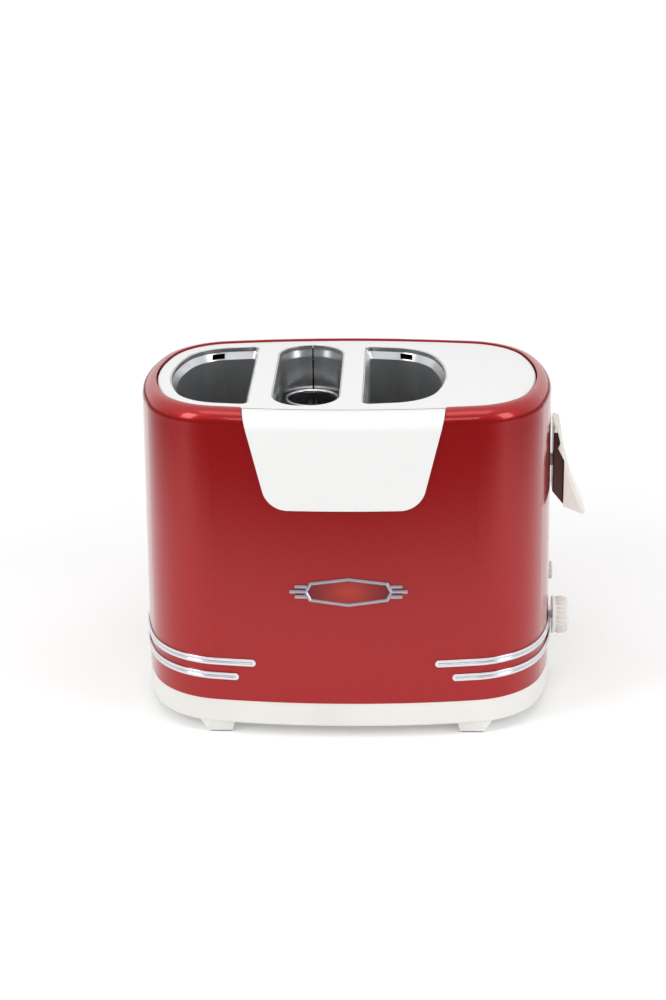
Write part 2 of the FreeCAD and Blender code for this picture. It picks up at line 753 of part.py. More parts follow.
def guard_grid(wall_x, towards):
    """Wires that keep the food off the cards, one frame before each window of a flat wall."""
    x = wall_x + towards * (GRID_STAND_OFF + GRID_WIRE_RADIUS)
    near = CARD_CENTRE_GAP / 2
    far = near + CARD_WIDTH - BUN_CORNER_RADIUS
    low = WINDOW_BOTTOM - WINDOW_EDGE
    high = WINDOW_TOP + WINDOW_EDGE
    frames = []
    for side in (-1, 1):
        frame = None
        for z in (low, high):
            start = V(x, side * near, z)
            bar = rod(GRID_WIRE_RADIUS, start, V(0, side, 0), far - near)
            frame = bar if frame is None else frame.fuse(bar)
        for i in range(GRID_WIRES):
            y = side * (near + WINDOW_EDGE + (far - near - 2 * WINDOW_EDGE) * (i + 0.5) / GRID_WIRES)
            frame = frame.fuse(rod(GRID_WIRE_RADIUS, V(x, y, low), V(0, 0, 1), high - low))
        frames.append(frame)
    return frames


def guard_grids(side):
    """The guards on both faces of the bar between the middle well and a bun well."""
    sausage_wall = SAUSAGE_HALF - SAUSAGE_SHOULDER_INSET + LINER_WALL
    bun_wall = SAUSAGE_HALF + BAR_WIDTH + SHOULDER_INSET - LINER_WALL
    grids = guard_grid(WELLS_CENTRE_X + side * sausage_wall, side)
    grids = grids + guard_grid(WELLS_CENTRE_X + side * bun_wall, -side)
    return Part.makeCompound(grids)


def card_slots(z):
    """The slots for the four heating cards in a frame plate."""
    half = CARD_WALL / 2 + LINER_FIT / 2
    slots = []
    for side in (-1, 1):
        for front in (True, False):
            y0, y1 = card_span(front)
            x = card_x(side)
            slots.append(box(x - half, x + half, y0 - LINER_FIT, y1 + LINER_FIT, z - 1, z + PLATE_WALL + 1))
    return slots


def rod_places():
    """Where the two guide rods stand."""
    return [V(ROD_X, -ROD_Y, 0), V(ROD_X, ROD_Y, 0)]


def post_places():
    """Where the base's four posts stand."""
    return [
        V(LEFT_POST_X, -LEFT_POST_Y, 0), V(LEFT_POST_X, LEFT_POST_Y, 0),
        V(RIGHT_POST_X, -RIGHT_POST_Y, 0), V(RIGHT_POST_X, RIGHT_POST_Y, 0),
    ]


def upper_plate():
    """The plate under the deck that the liners hang in."""
    z = UPPER_PLATE_BOTTOM
    plate = prism(outline(-DECK_INSET - PLATE_EDGE_INSET / 2, z), PLATE_WALL)
    room = LINER_WALL + LINER_FIT
    bun = prism(bun_outline(room - SHOULDER_INSET, z - 1), PLATE_WALL + 2)
    sausage = prism(sausage_outline(room - SAUSAGE_SHOULDER_INSET, z - 1), PLATE_WALL + 2)
    plate = plate.cut(bun).cut(mirror_wells(bun)).cut(sausage)
    for slot in card_slots(z):
        plate = plate.cut(slot)
    up = V(0, 0, 1)
    for place in rod_places():
        plate = plate.cut(rod(ROD_RADIUS, V(place.x, place.y, z - 1), up, PLATE_WALL + 2))
    for place in deck_bosses():
        plate = plate.cut(rod(SCREW_RADIUS + RUNNING_FIT, V(place.x, place.y, z - 1), up, PLATE_WALL + 2))
    return plate


def lower_plate():
    """The plate that the liners, cards, rods and controls stand on."""
    z = LOWER_PLATE_Z
    plate = prism(outline(-PLATE_EDGE_INSET, z), PLATE_WALL)
    bun = prism(bun_outline(-SHOULDER_INSET - LEDGE, z - 1), PLATE_WALL + 2)
    sausage = prism(sausage_outline(-SAUSAGE_SHOULDER_INSET - LEDGE, z - 1), PLATE_WALL + 2)
    plate = plate.cut(bun).cut(mirror_wells(bun)).cut(sausage)
    for slot in card_slots(z):
        plate = plate.cut(slot)
    up = V(0, 0, 1)
    for place in rod_places():
        plate = plate.cut(rod(ROD_RADIUS, V(place.x, place.y, z - 1), up, PLATE_WALL + 2))
    for place in post_places():
        plate = plate.cut(rod(SCREW_RADIUS, V(place.x, place.y, z - 1), up, PLATE_WALL + 2))
    return plate


def guide_rod(place):
    """A polished rod that the carriage runs on."""
    start = V(place.x, place.y, LOWER_PLATE_Z)
    return rod(ROD_RADIUS, start, V(0, 0, 1), UPPER_PLATE_TOP - LOWER_PLATE_Z)


def lift_carriage():
    """The slider that runs on the two rods."""
    y = ROD_Y + LUG_SIZE / 2
    x = CARRIAGE_FACE_X
    carriage = box(x, x + CARRIAGE_WALL, -y, y, CARRIAGE_BOTTOM, CARRIAGE_TOP)
    for side in (-1, 1):
        for z in (CARRIAGE_BOTTOM, CARRIAGE_TOP - LUG_HEIGHT):
            mid = side * ROD_Y
            half = LUG_SIZE / 2
            carriage = carriage.fuse(box(x, x + LUG_SIZE, mid - half, mid + half, z, z + LUG_HEIGHT))
    for place in rod_places():
        bore = rod(ROD_RADIUS + RUNNING_FIT, V(place.x, place.y, 0), V(0, 0, 1), FAR)
        carriage = carriage.cut(bore)
    return carriage.removeSplitter()


def lift_beam():
    """The bar on edge that carries the cradles, from the carriage to the left well."""
    end = -HALF_WIDTH + WELL_INSET + CRADLE_INSET + BEAM_HEIGHT
    half = BEAM_WALL / 2
    return box(end, CARRIAGE_FACE_X, -half, half, BEAM_BOTTOM, BEAM_TOP)


def crumb_slots(x0, x1, y_half):
    """Long holes in a cradle that let crumbs through."""
    slots = []
    half = BEAM_HEIGHT / 2
    for side in (-1, 1):
        for i in range(CRUMB_SLOTS):
            x = x0 + (x1 - x0) * (i + 1) / (CRUMB_SLOTS + 1)
            centre = V(x, side * (BEAM_HEIGHT + y_half) / 2, BEAM_TOP - 1)
            length = (y_half - BEAM_HEIGHT) / 2 - half
            slots.append(slot_prism(centre, length, half / 2, V(0, 1, 0), V(0, 0, CRADLE_WALL + 2)))
    return slots


def bun_cradle():
    """The plate that a bun stands on in the left well."""
    inset = SHOULDER_INSET + CRADLE_INSET
    x0 = -HALF_WIDTH + WELL_INSET + inset
    x1 = BUN_FLAT_X - inset
    plate = prism(outline(-WELL_INSET - inset, BEAM_TOP), CRADLE_WALL)
    plate = plate.common(box(x0, x1, -FAR, FAR, BEAM_TOP, CRADLE_TOP))
    for slot in crumb_slots(x0, x1, TUBE_Y - CRADLE_INSET):
        plate = plate.cut(slot)
    return plate


def basket_cradle():
    """The plate that the sausage basket stands on."""
    plate = prism(sausage_outline(-SAUSAGE_SHOULDER_INSET - BASKET_CRADLE_INSET, BEAM_TOP), CRADLE_WALL)
    half = SAUSAGE_HALF - BASKET_CRADLE_INSET - BEAM_HEIGHT
    x = WELLS_CENTRE_X
    for slot in crumb_slots(x - half, x + half, TUBE_Y):
        plate = plate.cut(slot)
    return plate


def latch_plate():
    """The tongue that the magnet holds when the carriage is down."""
    x = CARRIAGE_FACE_X + CARRIAGE_WALL
    half = LATCH_HALF_WIDTH
    return box(x, x + LATCH_LENGTH, -half, half, LATCH_Z, LATCH_Z + LATCH_WALL)


def magnet():
    """The coil and the yoke of the holding magnet, below the latch plate."""
    x = CARRIAGE_FACE_X + CARRIAGE_WALL + LATCH_LENGTH / 2 + CARRIAGE_WALL
    top = LATCH_Z - TRAVEL - SEAT_GAP
    half = LATCH_HALF_WIDTH
    leg = MAGNET_LEG
    yoke = box(x - half, x + half, -half, half, LOWER_PLATE_TOP, LOWER_PLATE_TOP + leg)
    for x0 in (x - half, x + half - leg / 2):
        yoke = yoke.fuse(box(x0, x0 + leg / 2, -half, half, LOWER_PLATE_TOP, top))
    yoke = yoke.fuse(rod(leg / 2, V(x, 0, LOWER_PLATE_TOP), V(0, 0, 1), top - LOWER_PLATE_TOP))
    low = LOWER_PLATE_TOP + leg
    coil_r = half - leg / 2 - SEAT_GAP
    coil = rod(coil_r, V(x, 0, low), V(0, 0, 1), top - low - leg)
    coil = coil.cut(rod(leg / 2, V(x, 0, low), V(0, 0, 1), FAR))
    return yoke.removeSplitter(), coil


def bend(start, corner, end):
    """The arc that leaves one point towards a corner and reaches the next point from that corner."""
    middle = (start + end) * 0.5
    half = (end - start).Length / 2
    rise = half * math.tan(math.atan((corner - middle).Length / half) / 2)
    return arc(start, middle + unit(corner - middle) * rise, end)


def biarc(start, leaving, end, arriving):
    """Two arcs that leave one point in one direction and reach another in a second direction."""
    gap = end - start
    both = leaving + arriving
    k = 2 * (1 - leaving.dot(arriving))
    reach = (math.sqrt(gap.dot(both) ** 2 + k * gap.dot(gap)) - gap.dot(both)) / k
    first = start + leaving * reach
    last = end - arriving * reach
    joint = (first + last) * 0.5
    return [bend(start, first, joint), bend(joint, last, end)]


def winding(radius, pitch, turns):
    """A helix round the upright axis, in arcs: its route, and the direction that it starts in."""
    steps = 4 * turns
    points = []
    directions = []
    for i in range(steps + 1):
        turn = i * math.pi / 2
        points.append(V(radius * math.cos(turn), radius * math.sin(turn), pitch * i / 4))
        directions.append(unit(V(-radius * math.sin(turn), radius * math.cos(turn), pitch / (2 * math.pi))))
    edges = []
    for i in range(steps):
        edges = edges + biarc(points[i], directions[i], points[i + 1], directions[i + 1])
    return Part.Wire(edges), directions[0]


def return_spring():
    """The spring round the rear rod that lifts the carriage."""
    low = LOWER_PLATE_TOP + SPRING_WIRE
    high = CARRIAGE_BOTTOM - SPRING_WIRE - SEAT_GAP
    route, start = winding(SPRING_RADIUS, (high - low) / SPRING_TURNS, SPRING_TURNS)
    profile = Part.Wire(Part.makeCircle(SPRING_WIRE, V(SPRING_RADIUS, 0, 0), start))
    spring = route.makePipeShell([profile], True, False)
    spring.translate(V(ROD_X, ROD_Y, low))
    return spring


def lever_arm():
    """The bar from the carriage out through the slot."""
    half = ARM_WALL / 2
    low = ARM_Z - ARM_HEIGHT / 2
    start = CARRIAGE_FACE_X + CARRIAGE_WALL
    _, middle, _ = grip_faces()
    return box(start, middle - ARM_END_INSET, -half, half, low, low + ARM_HEIGHT)


def grip_faces():
    """The inner, middle and outer faces of the grip, as distances from the middle."""
    inner = shell_face_x(GRIP_BOTTOM + TAIL_INNER_RISE - TRAVEL) + GRIP_GAP
    return inner, inner + INSERT_REACH, HALF_WIDTH + GRIP_REACH


def insert_front():
    """The points where the grip's dark inner part meets its pale outer part, from the top down."""
    inner, middle, _ = grip_faces()
    return [
        V(inner, 0, GRIP_TOP - CREST_DROP), V(inner + NECK_REACH, 0, GRIP_TOP - CREST_DROP),
        V(inner + LIP_REACH, 0, GRIP_TOP - LIP_DROP), V(inner + WAIST_REACH, 0, GRIP_TOP - WAIST_DROP),
        V(middle, 0, GRIP_TOP - HIP_DROP), V(middle, 0, GRIP_BOTTOM + TAIL_RISE),
    ]


def lever_insert():
    """The dark inner part of the grip, narrow above and cut to a slanting tail below."""
    inner, _, _ = grip_faces()
    points = insert_front() + [V(inner, 0, GRIP_BOTTOM + TAIL_INNER_RISE)]
    face = Part.Face(Part.makePolygon(points + points[:1]))
    insert = face.extrude(V(0, 2 * INSERT_HALF_WIDTH, 0))
    insert.translate(V(0, -INSERT_HALF_WIDTH, 0))
    return insert.cut(lever_arm())


def lever_grip():
    """The pale outer part of the grip: it caps the dark part and sweeps outwards to its foot."""
    inner, _, outer = grip_faces()
    seam = insert_front()
    crest = V(inner + CREST_INSET, 0, GRIP_TOP)
    crown = V(inner + CROWN_REACH, 0, GRIP_TOP - CROWN_DROP)
    scoop = V(inner + SCOOP_REACH, 0, GRIP_TOP - SCOOP_DROP)
    toe = V(outer, 0, GRIP_BOTTOM + TOE_RISE)
    heel = V(outer - HEEL_INSET, 0, GRIP_BOTTOM)
    edges = [
        Part.makeLine(seam[0], crest), Part.makeLine(crest, crown), arc(crown, scoop, toe),
        Part.makeLine(toe, heel), Part.makeLine(heel, seam[-1]),
    ]
    for i in range(len(seam) - 1, 0, -1):
        edges.append(Part.makeLine(seam[i], seam[i - 1]))
    grip = Part.Face(Part.Wire(edges)).extrude(V(0, 2 * GRIP_HALF_WIDTH, 0))
    grip.translate(V(0, -GRIP_HALF_WIDTH, 0))
    outer_edges = [e for e in grip.Edges if e.Curve.TypeId == "Part::GeomCircle"]
    return grip.makeFillet(GRIP_EDGE_RADIUS, outer_edges)


def outline_x(offset, y):
    """Where the right end of the outline stands, off the middle."""
    return HALF_WIDTH - END_RADIUS + math.sqrt((END_RADIUS + offset) ** 2 - y ** 2)


def shell_face_x(z):
    """Where the shell's right end stands at a height."""
    return HALF_WIDTH + flare_at(z)


def board_face_x():
    """The board's face towards the end of the body."""
    return BOARD_X + BRACKET_WALL + BOARD_WALL


def browning_knob():
    """The fluted knob with its pointer and hollow for the shaft."""
    x = shell_face_x(KNOB_Z) + KNOB_GAP
    right = V(1, 0, 0)
    knob = rod(KNOB_RADIUS, V(x, 0, KNOB_Z), right, KNOB_LENGTH)
    rim = [e for e in knob.Edges if e.Curve.TypeId == "Part::GeomCircle" and e.BoundBox.XMin > x + 1]
    knob = knob.makeFillet(KNOB_EDGE_RADIUS, rim)
    for i in range(KNOB_FLUTES):
        turn = 2 * math.pi * i / KNOB_FLUTES
        reach = KNOB_RADIUS + FLUTE_OUT
        start = V(x - 1, reach * math.sin(turn), KNOB_Z + reach * math.cos(turn))
        knob = knob.cut(rod(FLUTE_RADIUS, start, right, FLUTE_LENGTH + 1))
    pointer_x = x + KNOB_LENGTH - POINTER_DEPTH
    half = POINTER_HALF_WIDTH
    knob = knob.cut(box(pointer_x, FAR, -half, half, KNOB_Z + POINTER_START, KNOB_Z + POINTER_END))
    return knob.cut(rod(SHAFT_RADIUS, V(x - 1, 0, KNOB_Z), right, SHAFT_IN_KNOB + 1))


def browning_shaft():
    """The control's shaft, from inside the dial to inside the knob."""
    start = board_face_x() + DIAL_FLOOR
    end = shell_face_x(KNOB_Z) + KNOB_GAP + SHAFT_IN_KNOB
    return rod(SHAFT_RADIUS, V(start, 0, KNOB_Z), V(1, 0, 0), end - start)


def browning_control():
    """The fixed body of the browning control on the board."""
    x = board_face_x()
    right = V(1, 0, 0)
    can = rod(DIAL_RADIUS, V(x, 0, KNOB_Z), right, DIAL_DEPTH)
    return can.cut(rod(SHAFT_RADIUS + RUNNING_FIT, V(x + DIAL_FLOOR, 0, KNOB_Z), right, DIAL_DEPTH))


def cancel_button():
    """The push button beside the lever."""
    right = V(1, 0, 0)
    outer = shell_face_x(BUTTON_Z) + BUTTON_PROUD
    start = board_face_x() + SWITCH_DEPTH + BUTTON_TRAVEL + SEAT_GAP
    stem = rod(STEM_RADIUS, V(start, BUTTON_Y, BUTTON_Z), right, outer - start - BUTTON_EDGE_RADIUS)
    flange_radius = BUTTON_RADIUS + FLANGE_LIP
    flange_x = outline_x(-SHELL_WALL, BUTTON_Y + flange_radius) - FLANGE_WALL - SEAT_GAP
    flange = rod(flange_radius, V(flange_x, BUTTON_Y, BUTTON_Z), right, FLANGE_WALL)
    cap = rod(BUTTON_RADIUS, V(flange_x, BUTTON_Y, BUTTON_Z), right, outer - flange_x)
    rim = [e for e in cap.Edges if e.Curve.TypeId == "Part::GeomCircle" and e.BoundBox.XMin > outer - 1]
    cap = cap.makeFillet(BUTTON_EDGE_RADIUS, rim)
    return cap.fuse(flange).fuse(stem).removeSplitter()


def cancel_switch():
    """The switch on the board behind the button."""
    x = board_face_x()
    half = SWITCH_SIZE / 2
    return box(x, x + SWITCH_DEPTH, BUTTON_Y - half, BUTTON_Y + half, BUTTON_Z - half, BUTTON_Z + half)


def control_bracket():
    """The bent steel bracket that the board is fixed to."""
    y = BOARD_HALF_WIDTH
    z = LOWER_PLATE_TOP
    upright = box(BOARD_X, BOARD_X + BRACKET_WALL, -y, y, z, z + BOARD_HEIGHT + BOARD_RAISE)
    foot = box(BOARD_X - BRACKET_FOOT, BOARD_X, -y, y, z, z + BRACKET_WALL)
    half = BRACKET_HOLE_WIDTH / 2
    low = z + BOARD_HEIGHT / 2
    hole = box(BOARD_X - BRACKET_FOOT, FAR, -half, half, low, low + BRACKET_HOLE_HEIGHT)
    return upright.fuse(foot).cut(hole).removeSplitter()


def circuit_board():
    """The control board."""
    x = BOARD_X + BRACKET_WALL
    z = LOWER_PLATE_TOP + BOARD_RAISE
    return box(x, x + BOARD_WALL, -BOARD_HALF_WIDTH, BOARD_HALF_WIDTH, z, z + BOARD_HEIGHT)


def board_parts():
    """The relay, the capacitor and the chip on the board."""
    x = board_face_x()
    z = LOWER_PLATE_TOP + RELAY_RISE
    blocks = []
    for size, y in ((RELAY_SIZE, RELAY_Y), (CHIP_SIZE, CHIP_Y)):
        blocks.append(box(x, x + size[0], y - size[1] / 2, y + size[1] / 2, z, z + size[2]))
    capacitor_place = V(x, RELAY_Y, LOWER_PLATE_TOP + CAPACITOR_RISE)
    blocks.append(rod(CAPACITOR_RADIUS, capacitor_place, V(1, 0, 0), CAPACITOR_LENGTH))
    return Part.makeCompound(blocks)


def tray_box(grow, z0, z1, back):
    """The tray's space, larger by a clearance."""
    x = WELLS_CENTRE_X
    half = TRAY_HALF_WIDTH + grow
    return box(x - half, x + half, -TRAY_FRONT - grow, back, z0, z1)


def base_top_offset():
    """How far the base's wall stands out from the outline."""
    return FLARE - BASE_STEP_IN


def pad_x(sx):
    """The middle of a foot where it stands."""
    return sx * (FOOT_X - FOOT_LEAN)


def foot(sx, sy):
    """A foot below the base's floor, its end sloping in more than its other sides."""
    def square(x, half_x, half_y, z):
        y = sy * FOOT_Y
        points = [
            V(x - half_x, y - half_y, z), V(x + half_x, y - half_y, z),
            V(x + half_x, y + half_y, z), V(x - half_x, y + half_y, z),
        ]
        return Part.makePolygon(points + points[:1])
    low = square(pad_x(sx), FOOT_BOTTOM_HALF_X, FOOT_BOTTOM_HALF_Y, PAD_HEIGHT)
    high = square(sx * FOOT_X, FOOT_TOP_HALF, FOOT_TOP_HALF, FOOT_HEIGHT + BASE_WALL)
    return Part.makeLoft([low, high], True, True)


def base_pan():
    """The pale base with its feet, posts, vents and tray opening."""
    out = base_top_offset()
    pan = prism(outline(out, FOOT_HEIGHT), BASE_HEIGHT)
    low_edges = top_edges(pan, FOOT_HEIGHT)
    pan = pan.makeFillet(BASE_EDGE_RADIUS, low_edges)
    pan = pan.cut(prism(outline(out - BASE_WALL, FOOT_HEIGHT + BASE_WALL), BASE_HEIGHT))
    rib_out = -SHELL_WALL - BASE_RIB_FIT
    rib_z = SHELL_BOTTOM - BASE_RIB_HEIGHT
    rib = prism(outline(rib_out, rib_z), 2 * BASE_RIB_HEIGHT)
    rib = rib.fuse(prism(outline(out - BASE_WALL / 2, rib_z), BASE_RIB_HEIGHT))
    rib = rib.cut(prism(outline(rib_out - BASE_WALL, rib_z), 2 * BASE_RIB_HEIGHT))
    pan = pan.fuse(rib)
    inside = prism(outline(out - FOOT_STEP_IN, 0), FOOT_HEIGHT + BASE_WALL)
    up = V(0, 0, 1)
    for sx in (-1, 1):
        for sy in (-1, 1):
            pan = pan.fuse(foot(sx, sy).common(inside))
    for place in post_places():
        start = V(place.x, place.y, FOOT_HEIGHT)
        pan = pan.fuse(rod(POST_RADIUS, start, up, LOWER_PLATE_Z - FOOT_HEIGHT))
        pan = pan.cut(rod(SCREW_RADIUS + RUNNING_FIT, start, up, FAR))
        pan = pan.cut(rod(SCREW_HEAD_RADIUS + RUNNING_FIT, start, up, SCREW_HEAD_HEIGHT + 1))
    lip = tray_box(TRAY_FIT, TRAY_BOTTOM - TRAY_FIT, TRAY_TOP + TRAY_FIT, FAR)
    pan = pan.cut(lip.common(box(-FAR, FAR, TRAY_FRONT, FAR, 0, FAR)))
    x = WELLS_CENTRE_X
    half = FINGER_NOTCH / 2
    pan = pan.cut(box(x - half, x + half, TRAY_FRONT + POST_RADIUS, FAR, 0, TRAY_BOTTOM))
    for vent in base_vents():
        pan = pan.cut(vent)
    pan = pan.cut(rod(GLAND_RADIUS, V(GLAND_X, 0, gland_z()), V(0, 1, 0), FAR))
    return pan.removeSplitter()


def base_vents():
    """Air slots in the floor of the base, below the controls."""
    vents = []
    for i in range(BASE_VENTS):
        x = RIGHT_POST_X + VENT_PITCH * (i + 1)
        centre = V(x, 0, FOOT_HEIGHT - 1)
        half = VENT_LENGTH / 2 - VENT_WIDTH / 2
        vents.append(slot_prism(centre, half, VENT_WIDTH / 2, V(0, 1, 0), V(0, 0, BASE_WALL + 2)))
    return vents


def foot_pads():
    """Soft pads under the four feet."""
    pads = []
    half_x = FOOT_BOTTOM_HALF_X - PAD_STEP_IN
    half_y = FOOT_BOTTOM_HALF_Y - PAD_STEP_IN
    for sx in (-1, 1):
        for sy in (-1, 1):
            x = pad_x(sx)
            y = sy * FOOT_Y
            pads.append(box(x - half_x, x + half_x, y - half_y, y + half_y, 0, PAD_HEIGHT))
    return Part.makeCompound(pads)


def base_screws():
    """Screws from below, through the posts into the lower plate."""
    up = V(0, 0, 1)
    screws = []
    for place in post_places():
        start = V(place.x, place.y, FOOT_HEIGHT + 1)
        head = rod(SCREW_HEAD_RADIUS, start, up, SCREW_HEAD_HEIGHT)
        shank_z = FOOT_HEIGHT + 1 + SCREW_HEAD_HEIGHT
        shank = rod(SCREW_RADIUS, V(place.x, place.y, shank_z), up, LOWER_PLATE_TOP + 2 - shank_z)
        screws.append(head.fuse(shank).removeSplitter())
    return Part.makeCompound(screws)


def crumb_tray():
    """The tray that slides out at the back, its end flush with the base's wall."""
    out = base_top_offset()
    back = TRAY_FRONT + POST_RADIUS
    tray = tray_box(0, TRAY_BOTTOM, TRAY_TOP, back)
    x = WELLS_CENTRE_X
    half = TRAY_HALF_WIDTH - TRAY_WALL
    floor = TRAY_BOTTOM + TRAY_WALL
    tray = tray.cut(box(x - half, x + half, TRAY_WALL - TRAY_FRONT, back, floor, FAR))
    wall = prism(outline(out, TRAY_BOTTOM), TRAY_HEIGHT)
    wall = wall.cut(prism(outline(out - BASE_WALL, TRAY_BOTTOM), TRAY_HEIGHT))
    room = box(x - TRAY_HALF_WIDTH, x + TRAY_HALF_WIDTH, back - BASE_WALL, FAR, TRAY_BOTTOM, TRAY_TOP)
    end = wall.common(room)
    reach = box(x - TRAY_HALF_WIDTH, x + TRAY_HALF_WIDTH, back - 1, FAR, TRAY_BOTTOM, floor)
    inside = prism(outline(out - BASE_WALL / 2, TRAY_BOTTOM), TRAY_WALL)
    return tray.fuse(end).fuse(reach.common(inside)).removeSplitter()


def gland_z():
    """The height of the cord's entry."""
    return FOOT_HEIGHT + BASE_HEIGHT / 2


def gland_y(offset):
    """Where the base's rear wall stands at the cord's entry."""
    side_r = SIDE_RADIUS + base_top_offset() + offset
    return HALF_DEPTH - SIDE_RADIUS + math.sqrt(side_r ** 2 - GLAND_X ** 2)


def cord_gland():
    """The bush for the mains cord in the base's rear wall."""
    z = gland_z()
    along = V(0, 1, 0)
    y_in = gland_y(-BASE_WALL) - GLAND_FLANGE - 2
    y_out = gland_y(0)
    bush = rod(GLAND_RADIUS, V(GLAND_X, y_in, z), along, y_out - y_in)
    return bush.cut(rod(GLAND_BORE, V(GLAND_X, y_in - 1, z), along, FAR))


def terminal_block():
    """The block where the mains wires end, on the base's floor."""
    x = TERMINAL_X
    z = FOOT_HEIGHT + BASE_WALL
    half_x = TERMINAL_WIDTH / 2
    y1 = TERMINAL_Y + TERMINAL_LENGTH / 2
    block = box(x - half_x, x + half_x, y1 - TERMINAL_LENGTH, y1, z, z + TERMINAL_HEIGHT)
    for i in range(TERMINAL_WAYS):
        y = y1 - TERMINAL_LENGTH * (i + 0.5) / TERMINAL_WAYS
        block = block.cut(rod(TERMINAL_HOLE_RADIUS, V(x, y, z + TERMINAL_FLOOR), V(0, 0, 1), TERMINAL_HEIGHT))
    return block


def basket_tube(side):
    """A perforated tube of the basket, with a closed foot and a rolled rim."""
    up = V(0, 0, 1)
    y = side * TUBE_Y
    bottom = CRADLE_TOP + TUBE_SEAT
    rim_z = BASKET_TOP - TUBE_RIM_RADIUS
    foot_point = V(WELLS_CENTRE_X, y, bottom)
    tube = rod(TUBE_RADIUS, foot_point, up, rim_z - bottom)
    tube = tube.cut(rod(TUBE_RADIUS - TUBE_WALL, foot_point + up * TUBE_WALL, up, FAR))
    rim = Part.makeTorus(TUBE_RADIUS - TUBE_WALL / 2, TUBE_RIM_RADIUS, V(WELLS_CENTRE_X, y, rim_z), up)
    holes = []
    room = rim_z - bottom - BRIDGE_DROP * 2
    for row in range(HOLE_ROWS):
        z = bottom + BRIDGE_DROP + room * row / (HOLE_ROWS - 1)
        for i in range(HOLES_ROUND):
            turn = 2 * math.pi * (i + 0.5 * (row % 2)) / HOLES_ROUND
            out = V(math.cos(turn), math.sin(turn), 0)
            start = V(WELLS_CENTRE_X, y, z) + out * (TUBE_RADIUS / 2)
            holes.append(rod(HOLE_RADIUS, start, out, TUBE_RADIUS))
    tube = tube.cut(Part.makeCompound(holes))
    drain = rod(DRAIN_RADIUS, foot_point - up, up, TUBE_WALL + 2)
    return tube.fuse(rim).cut(drain)


def basket_bridge():
    """The strip that joins the two tubes, with the stem of the lifting knob."""
    up = V(0, 0, 1)
    x = WELLS_CENTRE_X
    z = BASKET_TOP - BRIDGE_DROP
    half = BRIDGE_WIDTH / 2
    reach = TUBE_Y
    strip = box(x - half, x + half, -reach, reach, z, z + BRIDGE_WALL)
    for side in (-1, 1):
        strip = strip.cut(rod(TUBE_RADIUS, V(x, side * TUBE_Y, z - 1), up, BRIDGE_WALL + 2))
    return strip.fuse(rod(KNOB_STEM_RADIUS, V(x, 0, z), up, BRIDGE_DROP / 2)).removeSplitter()


def basket_knob():
    """The small knob that lifts the basket."""
    x = WELLS_CENTRE_X
    top = BASKET_TOP - LIFT_KNOB_TOP_DROP
    bottom = BASKET_TOP - BRIDGE_DROP + BRIDGE_WALL
    knob = rod(LIFT_KNOB_RADIUS, V(x, 0, bottom), V(0, 0, 1), top - bottom)
    rims = [e for e in knob.Edges if e.Curve.TypeId == "Part::GeomCircle"]
    knob = knob.makeFillet(LIFT_KNOB_EDGE_RADIUS, rims)
    return knob.cut(rod(KNOB_STEM_RADIUS, V(x, 0, bottom - BRIDGE_WALL), V(0, 0, 1), BRIDGE_DROP / 2))


def pieces():
    """Every node by name."""
    parts = {
        "outer_shell": outer_shell(),
        "top_deck": top_deck(),
        "front_panel": front_panel(),
        "badge_frame": badge_frame(),
        "badge_plate": badge_plate(),
        "base_pan": base_pan(),
        "foot_pads": foot_pads(),
        "base_screws": base_screws(),
        "deck_screws": deck_screws(),
        "upper_plate": upper_plate(),
        "lower_plate": lower_plate(),
        "lift_carriage": lift_carriage(),
        "lift_beam": lift_beam(),
        "basket_cradle": basket_cradle(),
        "latch_plate": latch_plate(),
        "return_spring": return_spring(),
        "lever_arm": lever_arm(),
        "lever_insert": lever_insert(),
        "lever_grip": lever_grip(),
        "browning_knob": browning_knob(),
        "browning_shaft": browning_shaft(),
        "browning_control": browning_control(),
        "cancel_button": cancel_button(),
        "cancel_switch": cancel_switch(),
        "control_bracket": control_bracket(),
        "circuit_board": circuit_board(),
        "board_parts": board_parts(),
        "crumb_tray": crumb_tray(),
        "cord_gland": cord_gland(),
        "terminal_block": terminal_block(),
        "basket_tube_front": basket_tube(-1),
        "basket_tube_rear": basket_tube(1),
        "basket_bridge": basket_bridge(),
        "basket_knob": basket_knob(),
    }
    parts["magnet_yoke"], parts["magnet_coil"] = magnet()
    parts["guide_rod_front"], parts["guide_rod_rear"] = [guide_rod(place) for place in rod_places()]
    parts["bun_well_left"], parts["bun_well_right"] = bun_wells()
    cradle = bun_cradle()
    parts["bun_cradle_left"] = cradle
    parts["bun_cradle_right"] = mirror_wells(cradle)
    for side, name in ((-1, "left"), (1, "right")):
        parts["trim_strip_upper_" + name] = trim_strip(side, UPPER_STRIP_Z, UPPER_STRIP_END)
        parts["trim_strip_lower_" + name] = trim_strip(side, LOWER_STRIP_Z, LOWER_STRIP_END)
        parts["sausage_well_" + name] = sausage_well(side)
        parts["guard_grids_" + name] = guard_grids(side)
        for front, where in ((True, "front"), (False, "rear")):
            parts["mica_card_" + name + "_" + where] = mica_card(side, front)
            parts["heating_ribbon_" + name + "_" + where] = heating_ribbon(side, front)
    return parts


def main():
    """Writes one file per node, with the origin under the middle of the whole toaster."""
    os.makedirs("parts", exist_ok=True)
    for name, shape in pieces().items():
        shape = shape.copy()
        shape.translate(V(-ORIGIN_X, 0, 0))
        shape.exportStep("parts/" + name + ".step")
        print(name, len(shape.Solids), shape.isValid(), round(shape.Volume, 1))


if __name__ == "__main__":
    main()
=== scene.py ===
"""Finishes and fine shapes of a retro toaster for hot dogs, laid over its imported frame."""
import json
import math

import bmesh
import bpy
from bpy.props import FloatProperty, FloatVectorProperty, IntProperty, PointerProperty
from mathutils import Matrix, Vector

